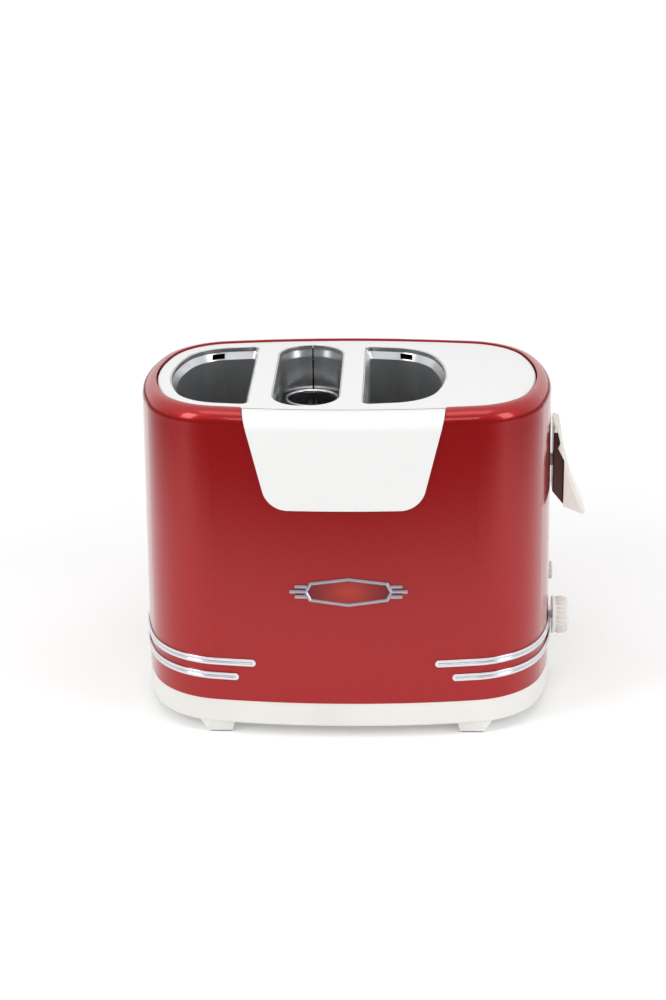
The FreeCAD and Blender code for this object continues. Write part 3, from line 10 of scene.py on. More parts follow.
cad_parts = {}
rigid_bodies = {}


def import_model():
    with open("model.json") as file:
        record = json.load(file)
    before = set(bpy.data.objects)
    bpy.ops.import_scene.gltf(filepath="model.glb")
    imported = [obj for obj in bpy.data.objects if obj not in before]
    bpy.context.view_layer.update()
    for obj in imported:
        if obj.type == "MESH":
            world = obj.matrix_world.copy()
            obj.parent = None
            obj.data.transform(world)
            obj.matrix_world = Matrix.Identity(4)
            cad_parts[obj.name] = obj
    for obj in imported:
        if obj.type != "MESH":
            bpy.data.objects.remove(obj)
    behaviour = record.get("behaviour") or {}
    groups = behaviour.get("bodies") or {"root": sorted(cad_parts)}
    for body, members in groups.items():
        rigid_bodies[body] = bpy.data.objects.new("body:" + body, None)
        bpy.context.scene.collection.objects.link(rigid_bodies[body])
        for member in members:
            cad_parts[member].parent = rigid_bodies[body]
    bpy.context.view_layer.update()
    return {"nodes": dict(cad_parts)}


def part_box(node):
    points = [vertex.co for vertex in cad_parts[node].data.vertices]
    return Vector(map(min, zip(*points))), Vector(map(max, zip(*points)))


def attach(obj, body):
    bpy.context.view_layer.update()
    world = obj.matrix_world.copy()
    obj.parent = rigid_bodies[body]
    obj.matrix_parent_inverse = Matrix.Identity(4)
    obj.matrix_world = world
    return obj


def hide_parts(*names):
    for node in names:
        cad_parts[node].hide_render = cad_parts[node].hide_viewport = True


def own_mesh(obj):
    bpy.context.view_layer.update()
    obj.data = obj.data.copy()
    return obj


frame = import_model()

bl_info = {
    "name": "Retro Hot Dog Toaster",
    "version": (1, 0, 0),
    "blender": (4, 5, 0),
    "location": "3D View > Sidebar > Toaster",
    "description":
        "Builds the finishes and the fine shapes of a toaster for hot dogs over its frame",
    "category": "Add Mesh",
}

# Places read from the frame; all lengths are in metres
SHELL_LOW, SHELL_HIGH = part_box("outer_shell")
MIDDLE_X = (SHELL_LOW[0] + SHELL_HIGH[0]) / 2
BADGE_LOW, BADGE_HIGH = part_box("badge_frame")
BADGE_X = (BADGE_LOW[0] + BADGE_HIGH[0]) / 2
BADGE_Z = (BADGE_LOW[2] + BADGE_HIGH[2]) / 2
BADGE_HALF_HEIGHT = (BADGE_HIGH[2] - BADGE_LOW[2]) / 2
FIELD_LOW, FIELD_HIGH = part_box("badge_plate")
FIELD_HALF = (FIELD_HIGH[0] - FIELD_LOW[0]) / 2

# Places that no box gives: the radius of the shell's long sides, the height where its flare ends,
# and how far the deck's edge lies inside the shell's skin
SIDE_RADIUS = 0.551
STRAIGHT_Z = 0.206
DECK_INSET = 0.01005


class ToasterSizes(bpy.types.PropertyGroup):
    """The sizes that a user would change."""
    flare: FloatProperty(
        name="Flare", description="How far the shell's foot stands out past its rim",
        default=0.0018, min=0.0, max=0.01, unit="LENGTH", precision=4)
    wing_pitch: FloatProperty(
        name="Badge bars", description="Distance between the bars beside the badge",
        default=0.0033, min=0.002, max=0.006, unit="LENGTH", precision=4)
    sheet_round: FloatProperty(
        name="Sheet edge", description="Radius of the rounded edges of pressed sheet and trim",
        default=0.0004, min=0.0001, max=0.001, unit="LENGTH", precision=4)
    moulded_round: FloatProperty(
        name="Moulded edge", description="Radius of the rounded edges of moulded plastic",
        default=0.0008, min=0.0001, max=0.002, unit="LENGTH", precision=4)
    knob_ribs: IntProperty(
        name="Knob ribs", description="Number of finger ribs round the browning knob",
        default=24, min=6, max=48)
    knob_rib_width: FloatProperty(
        name="Knob rib width", description="Width of one finger rib",
        default=0.0016, min=0.0005, max=0.003, unit="LENGTH", precision=4)
    camera_lens: FloatProperty(
        name="Lens", description="Focal length of the studio camera",
        default=80.9, min=20.0, max=200.0, unit="CAMERA")


class ToasterColours(bpy.types.PropertyGroup):
    """The colours that a user would change."""
    enamel: FloatVectorProperty(
        name="Enamel", description="Metallic paint of the shell",
        default=(0.435, 0.008, 0.009), size=3, min=0.0, max=1.0, subtype="COLOR")
    enamel_deep: FloatVectorProperty(
        name="Deep enamel", description="The paint between its flakes",
        default=(0.315, 0.004, 0.005), size=3, min=0.0, max=1.0, subtype="COLOR")
    plastic: FloatVectorProperty(
        name="Pale plastic", description="Base, crumb tray, knob and button",
        default=(0.83, 0.82, 0.78), size=3, min=0.0, max=1.0, subtype="COLOR")
    grip: FloatVectorProperty(
        name="Grip", description="Ivory plastic of the lever's grip",
        default=(0.84, 0.81, 0.745), size=3, min=0.0, max=1.0, subtype="COLOR")
    insert: FloatVectorProperty(
        name="Lever insert", description="Brown inner part of the lever's grip",
        default=(0.080, 0.010, 0.005), size=3, min=0.0, max=1.0, subtype="COLOR")
    deck: FloatVectorProperty(
        name="Deck", description="Satin coat of the deck and the front panel",
        default=(0.84, 0.84, 0.835), size=3, min=0.0, max=1.0, subtype="COLOR")


def sizes():
    """The scene's sizes."""
    return bpy.context.scene.toaster_sizes


def colours():
    """The scene's colours."""
    return bpy.context.scene.toaster_colours


# Nodes of a shader tree


def feed(tree, socket, value):
    """Gives a socket another node's output or a value of its own; a colour gets full alpha."""
    if isinstance(value, bpy.types.NodeSocket):
        tree.links.new(value, socket)
    elif socket.type == "RGBA":
        socket.default_value = (*value, 1.0)
    else:
        socket.default_value = value


def maths(tree, operation, *operands):
    """A Math node; each operand is a socket or a number."""
    node = tree.nodes.new("ShaderNodeMath")
    node.operation = operation
    for socket, operand in zip(node.inputs, operands):
        feed(tree, socket, operand)
    return node.outputs[0]


def vector_maths(tree, operation, *operands, output="Vector"):
    """A Vector Math node; each operand is a socket or a vector."""
    node = tree.nodes.new("ShaderNodeVectorMath")
    node.operation = operation
    for socket, operand in zip(node.inputs, operands):
        feed(tree, socket, operand)
    return node.outputs[output]


def parts_of(tree, place):
    """The X, Y and Z of a place."""
    node = tree.nodes.new("ShaderNodeSeparateXYZ")
    feed(tree, node.inputs[0], place)
    return node.outputs


def noise(tree, place, scale, detail=2.0, roughness=0.5):
    """A Noise Texture's factor, read at a place."""
    node = tree.nodes.new("ShaderNodeTexNoise")
    feed(tree, node.inputs["Vector"], place)
    feed(tree, node.inputs["Scale"], scale)
    feed(tree, node.inputs["Detail"], detail)
    feed(tree, node.inputs["Roughness"], roughness)
    return node.outputs["Fac"]


def ramp(tree, value, low, high, low_out=0.0, high_out=1.0):
    """A value spread from one range over another."""
    node = tree.nodes.new("ShaderNodeMapRange")
    feed(tree, node.inputs["Value"], value)
    feed(tree, node.inputs["From Min"], low)
    feed(tree, node.inputs["From Max"], high)
    feed(tree, node.inputs["To Min"], low_out)
    feed(tree, node.inputs["To Max"], high_out)
    return node.outputs[0]


def mixed_colour(tree, factor, low, high):
    """A colour between two, by a factor; each is a socket or a colour."""
    node = tree.nodes.new("ShaderNodeMix")
    node.data_type = "RGBA"
    feed(tree, node.inputs["Factor"], factor)
    feed(tree, node.inputs["A"], low)
    feed(tree, node.inputs["B"], high)
    return node.outputs["Result"]


def darker(colour, share):
    """A colour brought down to a share of itself."""
    return [share * channel for channel in colour]


def bump(tree, height, shader, strength, distance):
    """A Bump node from a height into the shader's normal."""
    node = tree.nodes.new("ShaderNodeBump")
    node.inputs["Strength"].default_value = strength
    node.inputs["Distance"].default_value = distance
    feed(tree, node.inputs["Height"], height)
    feed(tree, shader.inputs["Normal"], node.outputs["Normal"])


# Shader effects that several finishes share


def effect_group(name, inputs, outputs):
    """A new shader node group with its sockets, its input node and its output node."""
    tree = bpy.data.node_groups.new(name, "ShaderNodeTree")
    for label, kind, value in inputs:
        socket = tree.interface.new_socket(label, in_out="INPUT", socket_type=kind)
        socket.default_value = value
    for label in outputs:
        tree.interface.new_socket(label, in_out="OUTPUT", socket_type="NodeSocketFloat")
    return tree, tree.nodes.new("NodeGroupInput").outputs, tree.nodes.new("NodeGroupOutput").inputs


def handled_surface():
    """Uneven gloss of a wiped surface: soft smears."""
    tree, given, out = effect_group(
        "handled_surface",
        [("Vector", "NodeSocketVector", (0, 0, 0)), ("Gloss", "NodeSocketFloat", 0.2),
         ("Unevenness", "NodeSocketFloat", 0.1), ("Smear Scale", "NodeSocketFloat", 18.0)],
        ["Roughness"])
    smears = noise(tree, given["Vector"], given["Smear Scale"], detail=4.0, roughness=0.6)
    change = maths(tree, "MULTIPLY", maths(tree, "SUBTRACT", smears, 0.5), given["Unevenness"])
    feed(tree, out["Roughness"], maths(tree, "ADD", given["Gloss"], change))
    return tree


def drawn_metal():
    """Fine parallel marks of rolled sheet, along one direction."""
    tree, given, out = effect_group(
        "drawn_metal",
        [("Vector", "NodeSocketVector", (0, 0, 0)),
         ("Stretch", "NodeSocketVector", (900.0, 900.0, 12.0)),
         ("Gloss", "NodeSocketFloat", 0.3), ("Spread", "NodeSocketFloat", 0.15)],
        ["Roughness", "Height", "Shade"])
    stretched = vector_maths(tree, "MULTIPLY", given["Vector"], given["Stretch"])
    lines = noise(tree, stretched, scale=1.0, detail=3.0, roughness=0.6)
    cloud = noise(tree, given["Vector"], scale=25.0, detail=3.0)
    change = maths(tree, "MULTIPLY", maths(tree, "SUBTRACT", lines, 0.5), given["Spread"])
    feed(tree, out["Roughness"], maths(tree, "ADD", given["Gloss"], change))
    feed(tree, out["Height"], lines)
    feed(tree, out["Shade"], ramp(tree, cloud, low=0.3, high=0.7))
    return tree


EFFECTS = {"handled_surface": handled_surface, "drawn_metal": drawn_metal}


def new_finish(name, settings, group, values):
    """A material on Object coordinates whose gloss comes from a shared effect."""
    material = bpy.data.materials.new(name)
    material.use_nodes = True
    tree = material.node_tree
    shader = tree.nodes["Principled BSDF"]
    for label, value in settings.items():
        feed(tree, shader.inputs[label], value)
    effect = tree.nodes.new("ShaderNodeGroup")
    effect.node_tree = bpy.data.node_groups.get(group) or EFFECTS[group]()
    place = tree.nodes.new("ShaderNodeTexCoord").outputs["Object"]
    feed(tree, effect.inputs["Vector"], place)
    for label, value in values.items():
        effect.inputs[label].default_value = value
    feed(tree, shader.inputs["Roughness"], effect.outputs["Roughness"])
    return material, shader, effect, place


# Finishes

# Multiplied with a place, this takes its height away
FLATTEN = (1.0, 1.0, 0.0)
# The middle of a noise's range, which a tone is spread from
TONE_LOW, TONE_HIGH = 0.35, 0.65
FLAKE_SCALE = 4200.0
# The shell's bare inner faces, which have no paint and get a near-black colour as painted shade
# for the dark gaps between the wells:
# their colour, how far a face has to look inwards, the height where the paint starts to end, and
# the height that it takes to end
BARE_INSIDE_SHADE = (0.02, 0.02, 0.021)
INWARD_START, INWARD_FULL = -0.45, -0.55
UNPAINTED_TOP = 0.2075
UNPAINTED_EDGE = 0.0005
# The seam, a line of painted shade where the deck and the front panel meet: its colour, half the
# width that has it in full, and half the width where it ends
SEAM_SHADE_COLOUR = (0.16, 0.155, 0.16)
SEAM_CORE = 0.0005
SEAM_EDGE = 0.0009
# The badge's field: its two colours, a lighter middle and darker ends that are painted light and
# shade on the field's own red, the share of height in the spread, and the share of grain
FIELD_LIT_MIDDLE = (0.40, 0.040, 0.026)
FIELD_SHADED_ENDS = (0.15, 0.012, 0.018)
FIELD_BY_HEIGHT = 0.6
FIELD_GRAIN = 0.2
MICA_DARK = (0.30, 0.24, 0.15)
MICA_LIGHT = (0.62, 0.55, 0.42)
# How much finer the marks of drawn metal are along X, Y and Z
MARKS_ALONG_X = (10.0, 900.0, 900.0)
MARKS_UPRIGHT = (500.0, 500.0, 8.0)
MARKS_LEVEL = (8.0, 8.0, 2600.0)


def inner_face_shade(tree, place):
    """A mask of the shell's inner faces below the deck, which have no paint; where it holds, a
    near-black colour paints the shade of the gaps between the wells.
    """
    from_middle = vector_maths(tree, "SUBTRACT", place, (MIDDLE_X, 0.0, 0.0))
    outward = vector_maths(
        tree, "NORMALIZE", vector_maths(tree, "MULTIPLY", from_middle, FLATTEN))
    normal = tree.nodes.new("ShaderNodeNewGeometry").outputs["Normal"]
    facing = vector_maths(tree, "DOT_PRODUCT", outward, normal, output="Value")
    inner = ramp(tree, facing, INWARD_START, INWARD_FULL)
    height = parts_of(tree, place)["Z"]
    below = ramp(tree, height, UNPAINTED_TOP, UNPAINTED_TOP - UNPAINTED_EDGE)
    return maths(tree, "MULTIPLY", inner, below)


def enamel_finish():
    """Metallic cherry enamel: fine flakes under a clear gloss coat, with painted shade on the
    shell's bare inner faces below the deck.
    """
    material, shader, _, place = new_finish(
        "cherry_enamel",
        {"Metallic": 0.55, "Coat Weight": 1.0, "Coat Roughness": 0.05, "Coat IOR": 1.40,
         "Specular IOR Level": 0.2},
        "handled_surface", {"Gloss": 0.34, "Unevenness": 0.06})
    tree = material.node_tree
    flakes = tree.nodes.new("ShaderNodeTexVoronoi")
    flakes.inputs["Scale"].default_value = FLAKE_SCALE
    feed(tree, flakes.inputs["Vector"], place)
    split = tree.nodes.new("ShaderNodeSeparateColor")
    feed(tree, split.inputs["Color"], flakes.outputs["Color"])
    glitter = split.outputs["Red"]
    paint = mixed_colour(tree, glitter, colours().enamel_deep, colours().enamel)
    # Painted shade: the bare inner faces below the deck turn near-black to stand for the dark gaps
    # between the wells
    colour = mixed_colour(tree, inner_face_shade(tree, place), paint, BARE_INSIDE_SHADE)
    feed(tree, shader.inputs["Base Color"], colour)
    bump(tree, glitter, shader, strength=0.05, distance=0.00003)
    return material


def moulded_finish(name, colour, gloss, coat, depth):
    """Moulded plastic with a barely uneven gloss and a trace of a spark-eroded grain."""
    material, shader, _, place = new_finish(
        name, {"Coat Weight": coat, "Coat Roughness": 0.08, "IOR": 1.5},
        "handled_surface", {"Gloss": gloss, "Unevenness": 0.10})
    tree = material.node_tree
    tone = ramp(tree, noise(tree, place, scale=14.0, detail=3.0), TONE_LOW, TONE_HIGH)
    mixed = mixed_colour(tree, tone, darker(colour, depth), colour)
    feed(tree, shader.inputs["Base Color"], mixed)
    grain = noise(tree, place, scale=2600.0, detail=1.0)
    bump(tree, grain, shader, strength=0.06, distance=0.00004)
    return material


def painted_seam_shade(tree, place):
    """A mask of the fine dark line where the deck and the front panel meet: painted shade for the
    gap between them.
    """
    centre = (MIDDLE_X, SIDE_RADIUS + SHELL_LOW[1] + sizes().flare, 0.0)
    from_centre = vector_maths(tree, "SUBTRACT", place, centre)
    level = vector_maths(tree, "MULTIPLY", from_centre, FLATTEN)
    reach = vector_maths(tree, "LENGTH", level, output="Value")
    beyond = maths(tree, "SUBTRACT", reach, SIDE_RADIUS - DECK_INSET)
    return ramp(tree, maths(tree, "ABSOLUTE", beyond), SEAM_EDGE, SEAM_CORE)


def satin_finish():
    """Satin silver-white coat over sheet, as on the deck and the panel, with a line of painted
    shade along their seam.
    """
    material, shader, _, place = new_finish(
        "satin_coat", {"Metallic": 0.05, "Coat Weight": 0.12, "Coat Roughness": 0.30},
        "handled_surface", {"Gloss": 0.50, "Unevenness": 0.08})
    tree = material.node_tree
    tone = noise(tree, place, scale=1500.0)
    coat = mixed_colour(tree, tone, darker(colours().deck, share=0.95), colours().deck)
    # Painted shade: a fine dark line along the seam between the deck and the panel
    colour = mixed_colour(tree, painted_seam_shade(tree, place), coat, SEAM_SHADE_COLOUR)
    feed(tree, shader.inputs["Base Color"], colour)
    bump(tree, tone, shader, strength=0.04, distance=0.00003)
    return material


def sheet_finish(name, colour, gloss, spread, stretch, metallic=1.0, relief=0.08):
    """Rolled or drawn metal sheet with fine parallel marks."""
    material, shader, effect, _ = new_finish(
        name, {"Metallic": metallic},
        "drawn_metal", {"Gloss": gloss, "Spread": spread, "Stretch": stretch})
    tree = material.node_tree
    mixed = mixed_colour(tree, effect.outputs["Shade"], darker(colour, share=0.82), colour)
    feed(tree, shader.inputs["Base Color"], mixed)
    bump(tree, effect.outputs["Height"], shader, strength=relief, distance=0.00005)
    return material


def chrome_finish(name, colour, gloss):
    """Plated metal with faint wiping marks."""
    return new_finish(
        name, {"Metallic": 1.0, "Base Color": colour},
        "handled_surface", {"Gloss": gloss, "Unevenness": 0.10, "Smear Scale": 60.0})[0]


def mica_finish():
    """Pressed mica board: pale brown with shining specks."""
    material, shader, _, place = new_finish(
        "mica_board", {"Specular IOR Level": 0.6},
        "handled_surface", {"Gloss": 0.42, "Unevenness": 0.3, "Smear Scale": 300.0})
    tree = material.node_tree
    grain = noise(tree, place, scale=420.0, detail=4.0, roughness=0.7)
    specks = ramp(tree, grain, TONE_LOW, TONE_HIGH)
    feed(tree, shader.inputs["Base Color"], mixed_colour(tree, specks, MICA_DARK, MICA_LIGHT))
    return material


def badge_finish():
    """Enamel of the badge's bare field, red of its own, with painted light in the middle and
    painted shade towards its ends.
    """
    material, shader, _, place = new_finish(
        "badge_enamel",
        {"Coat Weight": 0.5, "Coat Roughness": 0.10, "Coat IOR": 1.35, "Specular IOR Level": 0.15},
        "handled_surface", {"Gloss": 0.30, "Unevenness": 0.10})
    tree = material.node_tree
    centred = vector_maths(tree, "SUBTRACT", place, (BADGE_X, 0.0, BADGE_Z))
    shares = (1.0 / FIELD_HALF, 0.0, FIELD_BY_HEIGHT / BADGE_HALF_HEIGHT)
    spread = vector_maths(tree, "MULTIPLY", centred, shares)
    reach = vector_maths(tree, "LENGTH", spread, output="Value")
    grain = maths(tree, "MULTIPLY", noise(tree, place, scale=220.0, detail=3.0), FIELD_GRAIN)
    # Painted light and shade: the field is lighter in its middle and darker towards its ends
    towards_shade = ramp(tree, maths(tree, "ADD", reach, grain), low=0.15, high=1.05)
    feed(tree, shader.inputs["Base Color"],
         mixed_colour(tree, towards_shade, FIELD_LIT_MIDDLE, FIELD_SHADED_ENDS))
    return material


def make_finishes():
    """Every finish by name."""
    return {
        "enamel": enamel_finish(),
        "satin": satin_finish(),
        "plastic": moulded_finish(
            "pale_plastic", colours().plastic, gloss=0.25, coat=0.3, depth=0.92),
        "grip": moulded_finish(
            "ivory_plastic", colours().grip, gloss=0.24, coat=0.4, depth=0.92),
        "insert": moulded_finish(
            "brown_plastic", colours().insert, gloss=0.24, coat=0.15, depth=0.8),
        "black": moulded_finish(
            "black_plastic", (0.018, 0.018, 0.019), gloss=0.32, coat=0.1, depth=0.7),
        "rubber": moulded_finish(
            "soft_pad", (0.03, 0.03, 0.03), gloss=0.6, coat=0.0, depth=0.8),
        "board": moulded_finish(
            "green_board", (0.02, 0.10, 0.035), gloss=0.3, coat=0.4, depth=0.8),
        "badge": badge_finish(),
        "chrome": chrome_finish("bright_chrome", (0.74, 0.75, 0.78), gloss=0.12),
        # Painted reflection: the badge frame's metal is darker and bluish to stand for the darker
        # surroundings that it mirrors
        "smoked": chrome_finish("smoked_chrome", (0.47, 0.46, 0.52), gloss=0.20),
        "liner": sheet_finish(
            "aluminised_sheet", (0.74, 0.75, 0.76), gloss=0.25, spread=0.05,
            stretch=MARKS_UPRIGHT, metallic=0.94, relief=0.01),
        "steel": sheet_finish(
            "zinc_sheet", (0.56, 0.57, 0.58), gloss=0.34, spread=0.20, stretch=MARKS_ALONG_X),
        "basket": sheet_finish(
            "bright_sheet", (0.68, 0.68, 0.69), gloss=0.20, spread=0.05,
            stretch=MARKS_UPRIGHT, relief=0.01),
        "ribbon": sheet_finish(
            "heating_ribbon", (0.36, 0.33, 0.30), gloss=0.4, spread=0.15, stretch=MARKS_ALONG_X),
        "copper": sheet_finish(
            "coil_winding", (0.60, 0.27, 0.13), gloss=0.3, spread=0.2, stretch=MARKS_LEVEL),
        "mica": mica_finish(),
    }


# The finishes by name, which the first operator fills in
FINISHES = {}
# Which nodes have which finish; a node that isn't listed is steel
NODES_BY_FINISH = {
    "enamel": ["outer_shell"],
    "satin": ["top_deck", "front_panel"],
    "plastic": ["base_pan", "browning_knob", "cancel_button", "crumb_tray", "terminal_block"],
    "grip": ["lever_grip"],
    "insert": ["lever_insert"],
    "black": ["browning_control", "cancel_switch", "board_parts", "basket_knob"],
    "rubber": ["foot_pads", "cord_gland"],
    "board": ["circuit_board"],
    "badge": ["badge_plate"],
    "chrome": ["trim_strip_upper_left", "trim_strip_upper_right", "trim_strip_lower_left",
               "trim_strip_lower_right"],
    "smoked": ["badge_frame"],
    "liner": ["bun_well_left", "bun_well_right", "sausage_well_left", "sausage_well_right"],
    "basket": ["basket_tube_front", "basket_tube_rear", "basket_bridge"],
    "copper": ["magnet_coil"],
    "mica": ["mica_card_left_front", "mica_card_left_rear", "mica_card_right_front",
             "mica_card_right_rear"],
    "ribbon": ["heating_ribbon_left_front", "heating_ribbon_left_rear",
               "heating_ribbon_right_front", "heating_ribbon_right_rear"],
}
FINISH_OF = dict.fromkeys(frame["nodes"], "steel")
FINISH_OF.update({node: finish for finish, nodes in NODES_BY_FINISH.items() for node in nodes})


class TOASTER_OT_finishes(bpy.types.Operator):
    """Make the finishes and give them to the nodes of the frame"""
    bl_idname = "toaster.finishes"
    bl_label = "Finishes"

    def execute(self, context):
        FINISHES.update(make_finishes())
        for node, finish in FINISH_OF.items():
            mesh = frame["nodes"][node].data
            mesh.materials.clear()
            mesh.materials.append(FINISHES[finish])
        return {"FINISHED"}


# Pieces that stand for nodes of the frame

# Angles in degrees: edges sharper than the first are rounded, edges sharper than the next four
# break the shading, and faces that turn less than the last are joined
SHARP_NODE_EDGE = 40.0
SMOOTH_NODE = 50.0
SMOOTH_TURNED = 40.0
SMOOTH_BADGE = 20.0
SMOOTH_SPRING = 60.0
FLAT_ENOUGH = 0.5
SAME_POINT = 0.000002
EDGE_STEPS = 2


def in_scene(name, mesh):
    """A mesh as an object of the scene, at the origin."""
    piece = bpy.data.objects.new(name, mesh)
    bpy.context.scene.collection.objects.link(piece)
    return piece


def stands_for(piece, node):
    """The piece hides a node and moves with its body."""
    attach(piece, frame["nodes"][node].parent.name.split(":")[1])
    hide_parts(node)


def plain_piece(work, name):
    """What an object's modifiers make of it, as a plain mesh in an object of its own."""
    graph = bpy.context.evaluated_depsgraph_get()
    mesh = bpy.data.meshes.new_from_object(work.evaluated_get(graph), depsgraph=graph)
    mesh.name = name
    bpy.data.objects.remove(work)
    return in_scene(name, mesh)


def even_shading(mesh, limit):
    """Smooth shading that breaks at edges sharper than a limit in degrees."""
    for face in mesh.polygons:
        face.use_smooth = True
    mesh.set_sharp_from_angle(angle=math.radians(limit))


def mesh_of(shape, name, limit):
    """A finished shape as a mesh with even shading."""
    mesh = bpy.data.meshes.new(name)
    shape.to_mesh(mesh)
    shape.free()
    even_shading(mesh, limit)
    return mesh


def merged_shape(node):
    """A node's shape with its loose triangles merged and its flat faces joined."""
    shape = bmesh.new()
    shape.from_mesh(frame["nodes"][node].data)
    bmesh.ops.remove_doubles(shape, verts=shape.verts, dist=SAME_POINT)
    bmesh.ops.dissolve_limit(
        shape, angle_limit=math.radians(FLAT_ENOUGH), verts=shape.verts, edges=shape.edges)
    return shape


def round_edges(shape, edges, radius, clamped):
    """Rounds some of a shape's edges; where clamped, no rounding runs into the next."""
    bmesh.ops.bevel(
        shape, geom=edges, offset=radius, offset_type="OFFSET", segments=EDGE_STEPS, profile=0.5,
        affect="EDGES", clamp_overlap=clamped)


def rounded_node(node, radius):
    """Puts a node's own shape with its sharp edges rounded in place of the node."""
    shape = merged_shape(node)
    limit = math.radians(SHARP_NODE_EDGE)
    sharp = [edge for edge in shape.edges if edge.is_manifold and edge.calc_face_angle() > limit]
    round_edges(shape, sharp, radius, clamped=False)
    shape.verts.index_update()
    mesh = bpy.data.meshes.new(node + "_work")
    mesh.from_pydata(
        [vert.co for vert in shape.verts], [],
        [[vert.index for vert in face.verts] for face in shape.faces])
    shape.free()
    even_shading(mesh, SMOOTH_NODE)
    work = in_scene(node + "_work", mesh)
    weigh = work.modifiers.new("weigh", "WEIGHTED_NORMAL")
    weigh.keep_sharp = True
    piece = plain_piece(work, node + "_rounded")
    piece.data.materials.append(FINISHES[FINISH_OF[node]])
    stands_for(piece, node)


def turned(name, profile, axis, centre, steps):
    """A mesh turned from (along, radius) points round an axis: "X" or "Z"."""
    shape = bmesh.new()
    rings = []
    for along, radius in profile:
        ring = []
        for step in range(steps if radius else 1):
            angle = 2.0 * math.pi * step / steps
            a, b = radius * math.cos(angle), radius * math.sin(angle)
            place = (along, a, b) if axis == "X" else (a, b, along)
            ring.append(shape.verts.new([p + c for p, c in zip(place, centre)]))
        rings.append(ring)
    for low, high in zip(rings, rings[1:]):
        for step in range(steps):
            after = (step + 1) % steps
            corners = [low[step % len(low)], low[after % len(low)],
                       high[after % len(high)], high[step % len(high)]]
            shape.faces.new(list(dict.fromkeys(corners)))
    bmesh.ops.recalc_face_normals(shape, faces=shape.faces)
    return mesh_of(shape, name, SMOOTH_TURNED)


# Pressed sheet, trim and the lever's insert

PRESSED = ("top_deck", "front_panel", "trim_strip_upper_left", "trim_strip_upper_right",
           "trim_strip_lower_left", "trim_strip_lower_right")


class TOASTER_OT_sheet(bpy.types.Operator):
    """Round the edges of the deck, the front panel and the strips"""
    bl_idname = "toaster.sheet"
    bl_label = "Deck, panel and trim"

    def execute(self, context):
        for node in PRESSED:
            rounded_node(node, sizes().sheet_round)
        return {"FINISHED"}


class TOASTER_OT_lever(bpy.types.Operator):
    """Round the edges of the lever's dark insert"""
    bl_idname = "toaster.lever"
    bl_label = "Lever"

    def execute(self, context):
        rounded_node("lever_insert", sizes().moulded_round)
        return {"FINISHED"}


# The badge's frame and the bars beside it, which are called wings

BADGE_RIM = 0.0020
BADGE_RISE = 0.0013
BADGE_BAND_HALF = 0.00120
BADGE_SHOULDER_IN = 0.0028
BADGE_SHOULDER_RISE = 0.63
BADGE_STEPS = 6
WING_HALF = 0.00130
WING_REACHES = (0.0056, 0.0090, 0.0056)
WING_STEPS = 4
# The band's section: the share of its half width across, and the share of its rise
BAND_PROFILE = ((-1.0, 0.0), (-0.92, 0.55), (-0.30, 1.0), (0.30, 1.0), (0.92, 0.55), (1.0, 0.0))


def front_skin(x, z):
    """Where the shell's front stands at a place, as a y value."""
    flare = sizes().flare * (STRAIGHT_Z - z) / (STRAIGHT_Z - SHELL_LOW[2])
    across = x - MIDDLE_X
    reach = -SHELL_LOW[1] - sizes().flare + flare
    return SIDE_RADIUS - math.sqrt(SIDE_RADIUS ** 2 - across ** 2) - reach


def spread_points(corners, closed, steps):
    """Corners in the front's plane with even points between them."""
    spread = []
    for start, end in zip(corners, corners[1:] + (corners[:1] if closed else [])):
        for step in range(steps):
            part = step / steps
            spread.append((start[0] + part * (end[0] - start[0]),
                           start[1] + part * (end[1] - start[1])))
    return spread if closed else spread + corners[-1:]


def band_on_front(shape, points, closed, half_width):
    """Adds a bevelled band of metal that follows points on the shell's front."""
    rows = []
    last = len(points) - 1
    for index, (x, z) in enumerate(points):
        ways = []
        if closed or index > 0:
            before = points[index - 1]
            ways.append(Vector((x - before[0], z - before[1])).normalized())
        if closed or index < last:
            after = points[(index + 1) % len(points)]
            ways.append(Vector((after[0] - x, after[1] - z)).normalized())
        way = (ways[0] + ways[-1]).normalized()
        mitre = half_width / way.dot(ways[0])
        row = []
        for across, rise in BAND_PROFILE:
            place_x = x - way.y * across * mitre
            place_z = z + way.x * across * mitre
            place_y = front_skin(place_x, place_z) - rise * BADGE_RISE
            row.append(shape.verts.new((place_x, place_y, place_z)))
        rows.append(row)
    pairs = list(zip(rows, rows[1:])) + ([(rows[-1], rows[0])] if closed else [])
    for low, high in pairs:
        for index in range(len(BAND_PROFILE)):
            after = (index + 1) % len(BAND_PROFILE)
            shape.faces.new((low[index], low[after], high[after], high[index]))
    if not closed:
        shape.faces.new(rows[0])
        shape.faces.new(rows[-1])


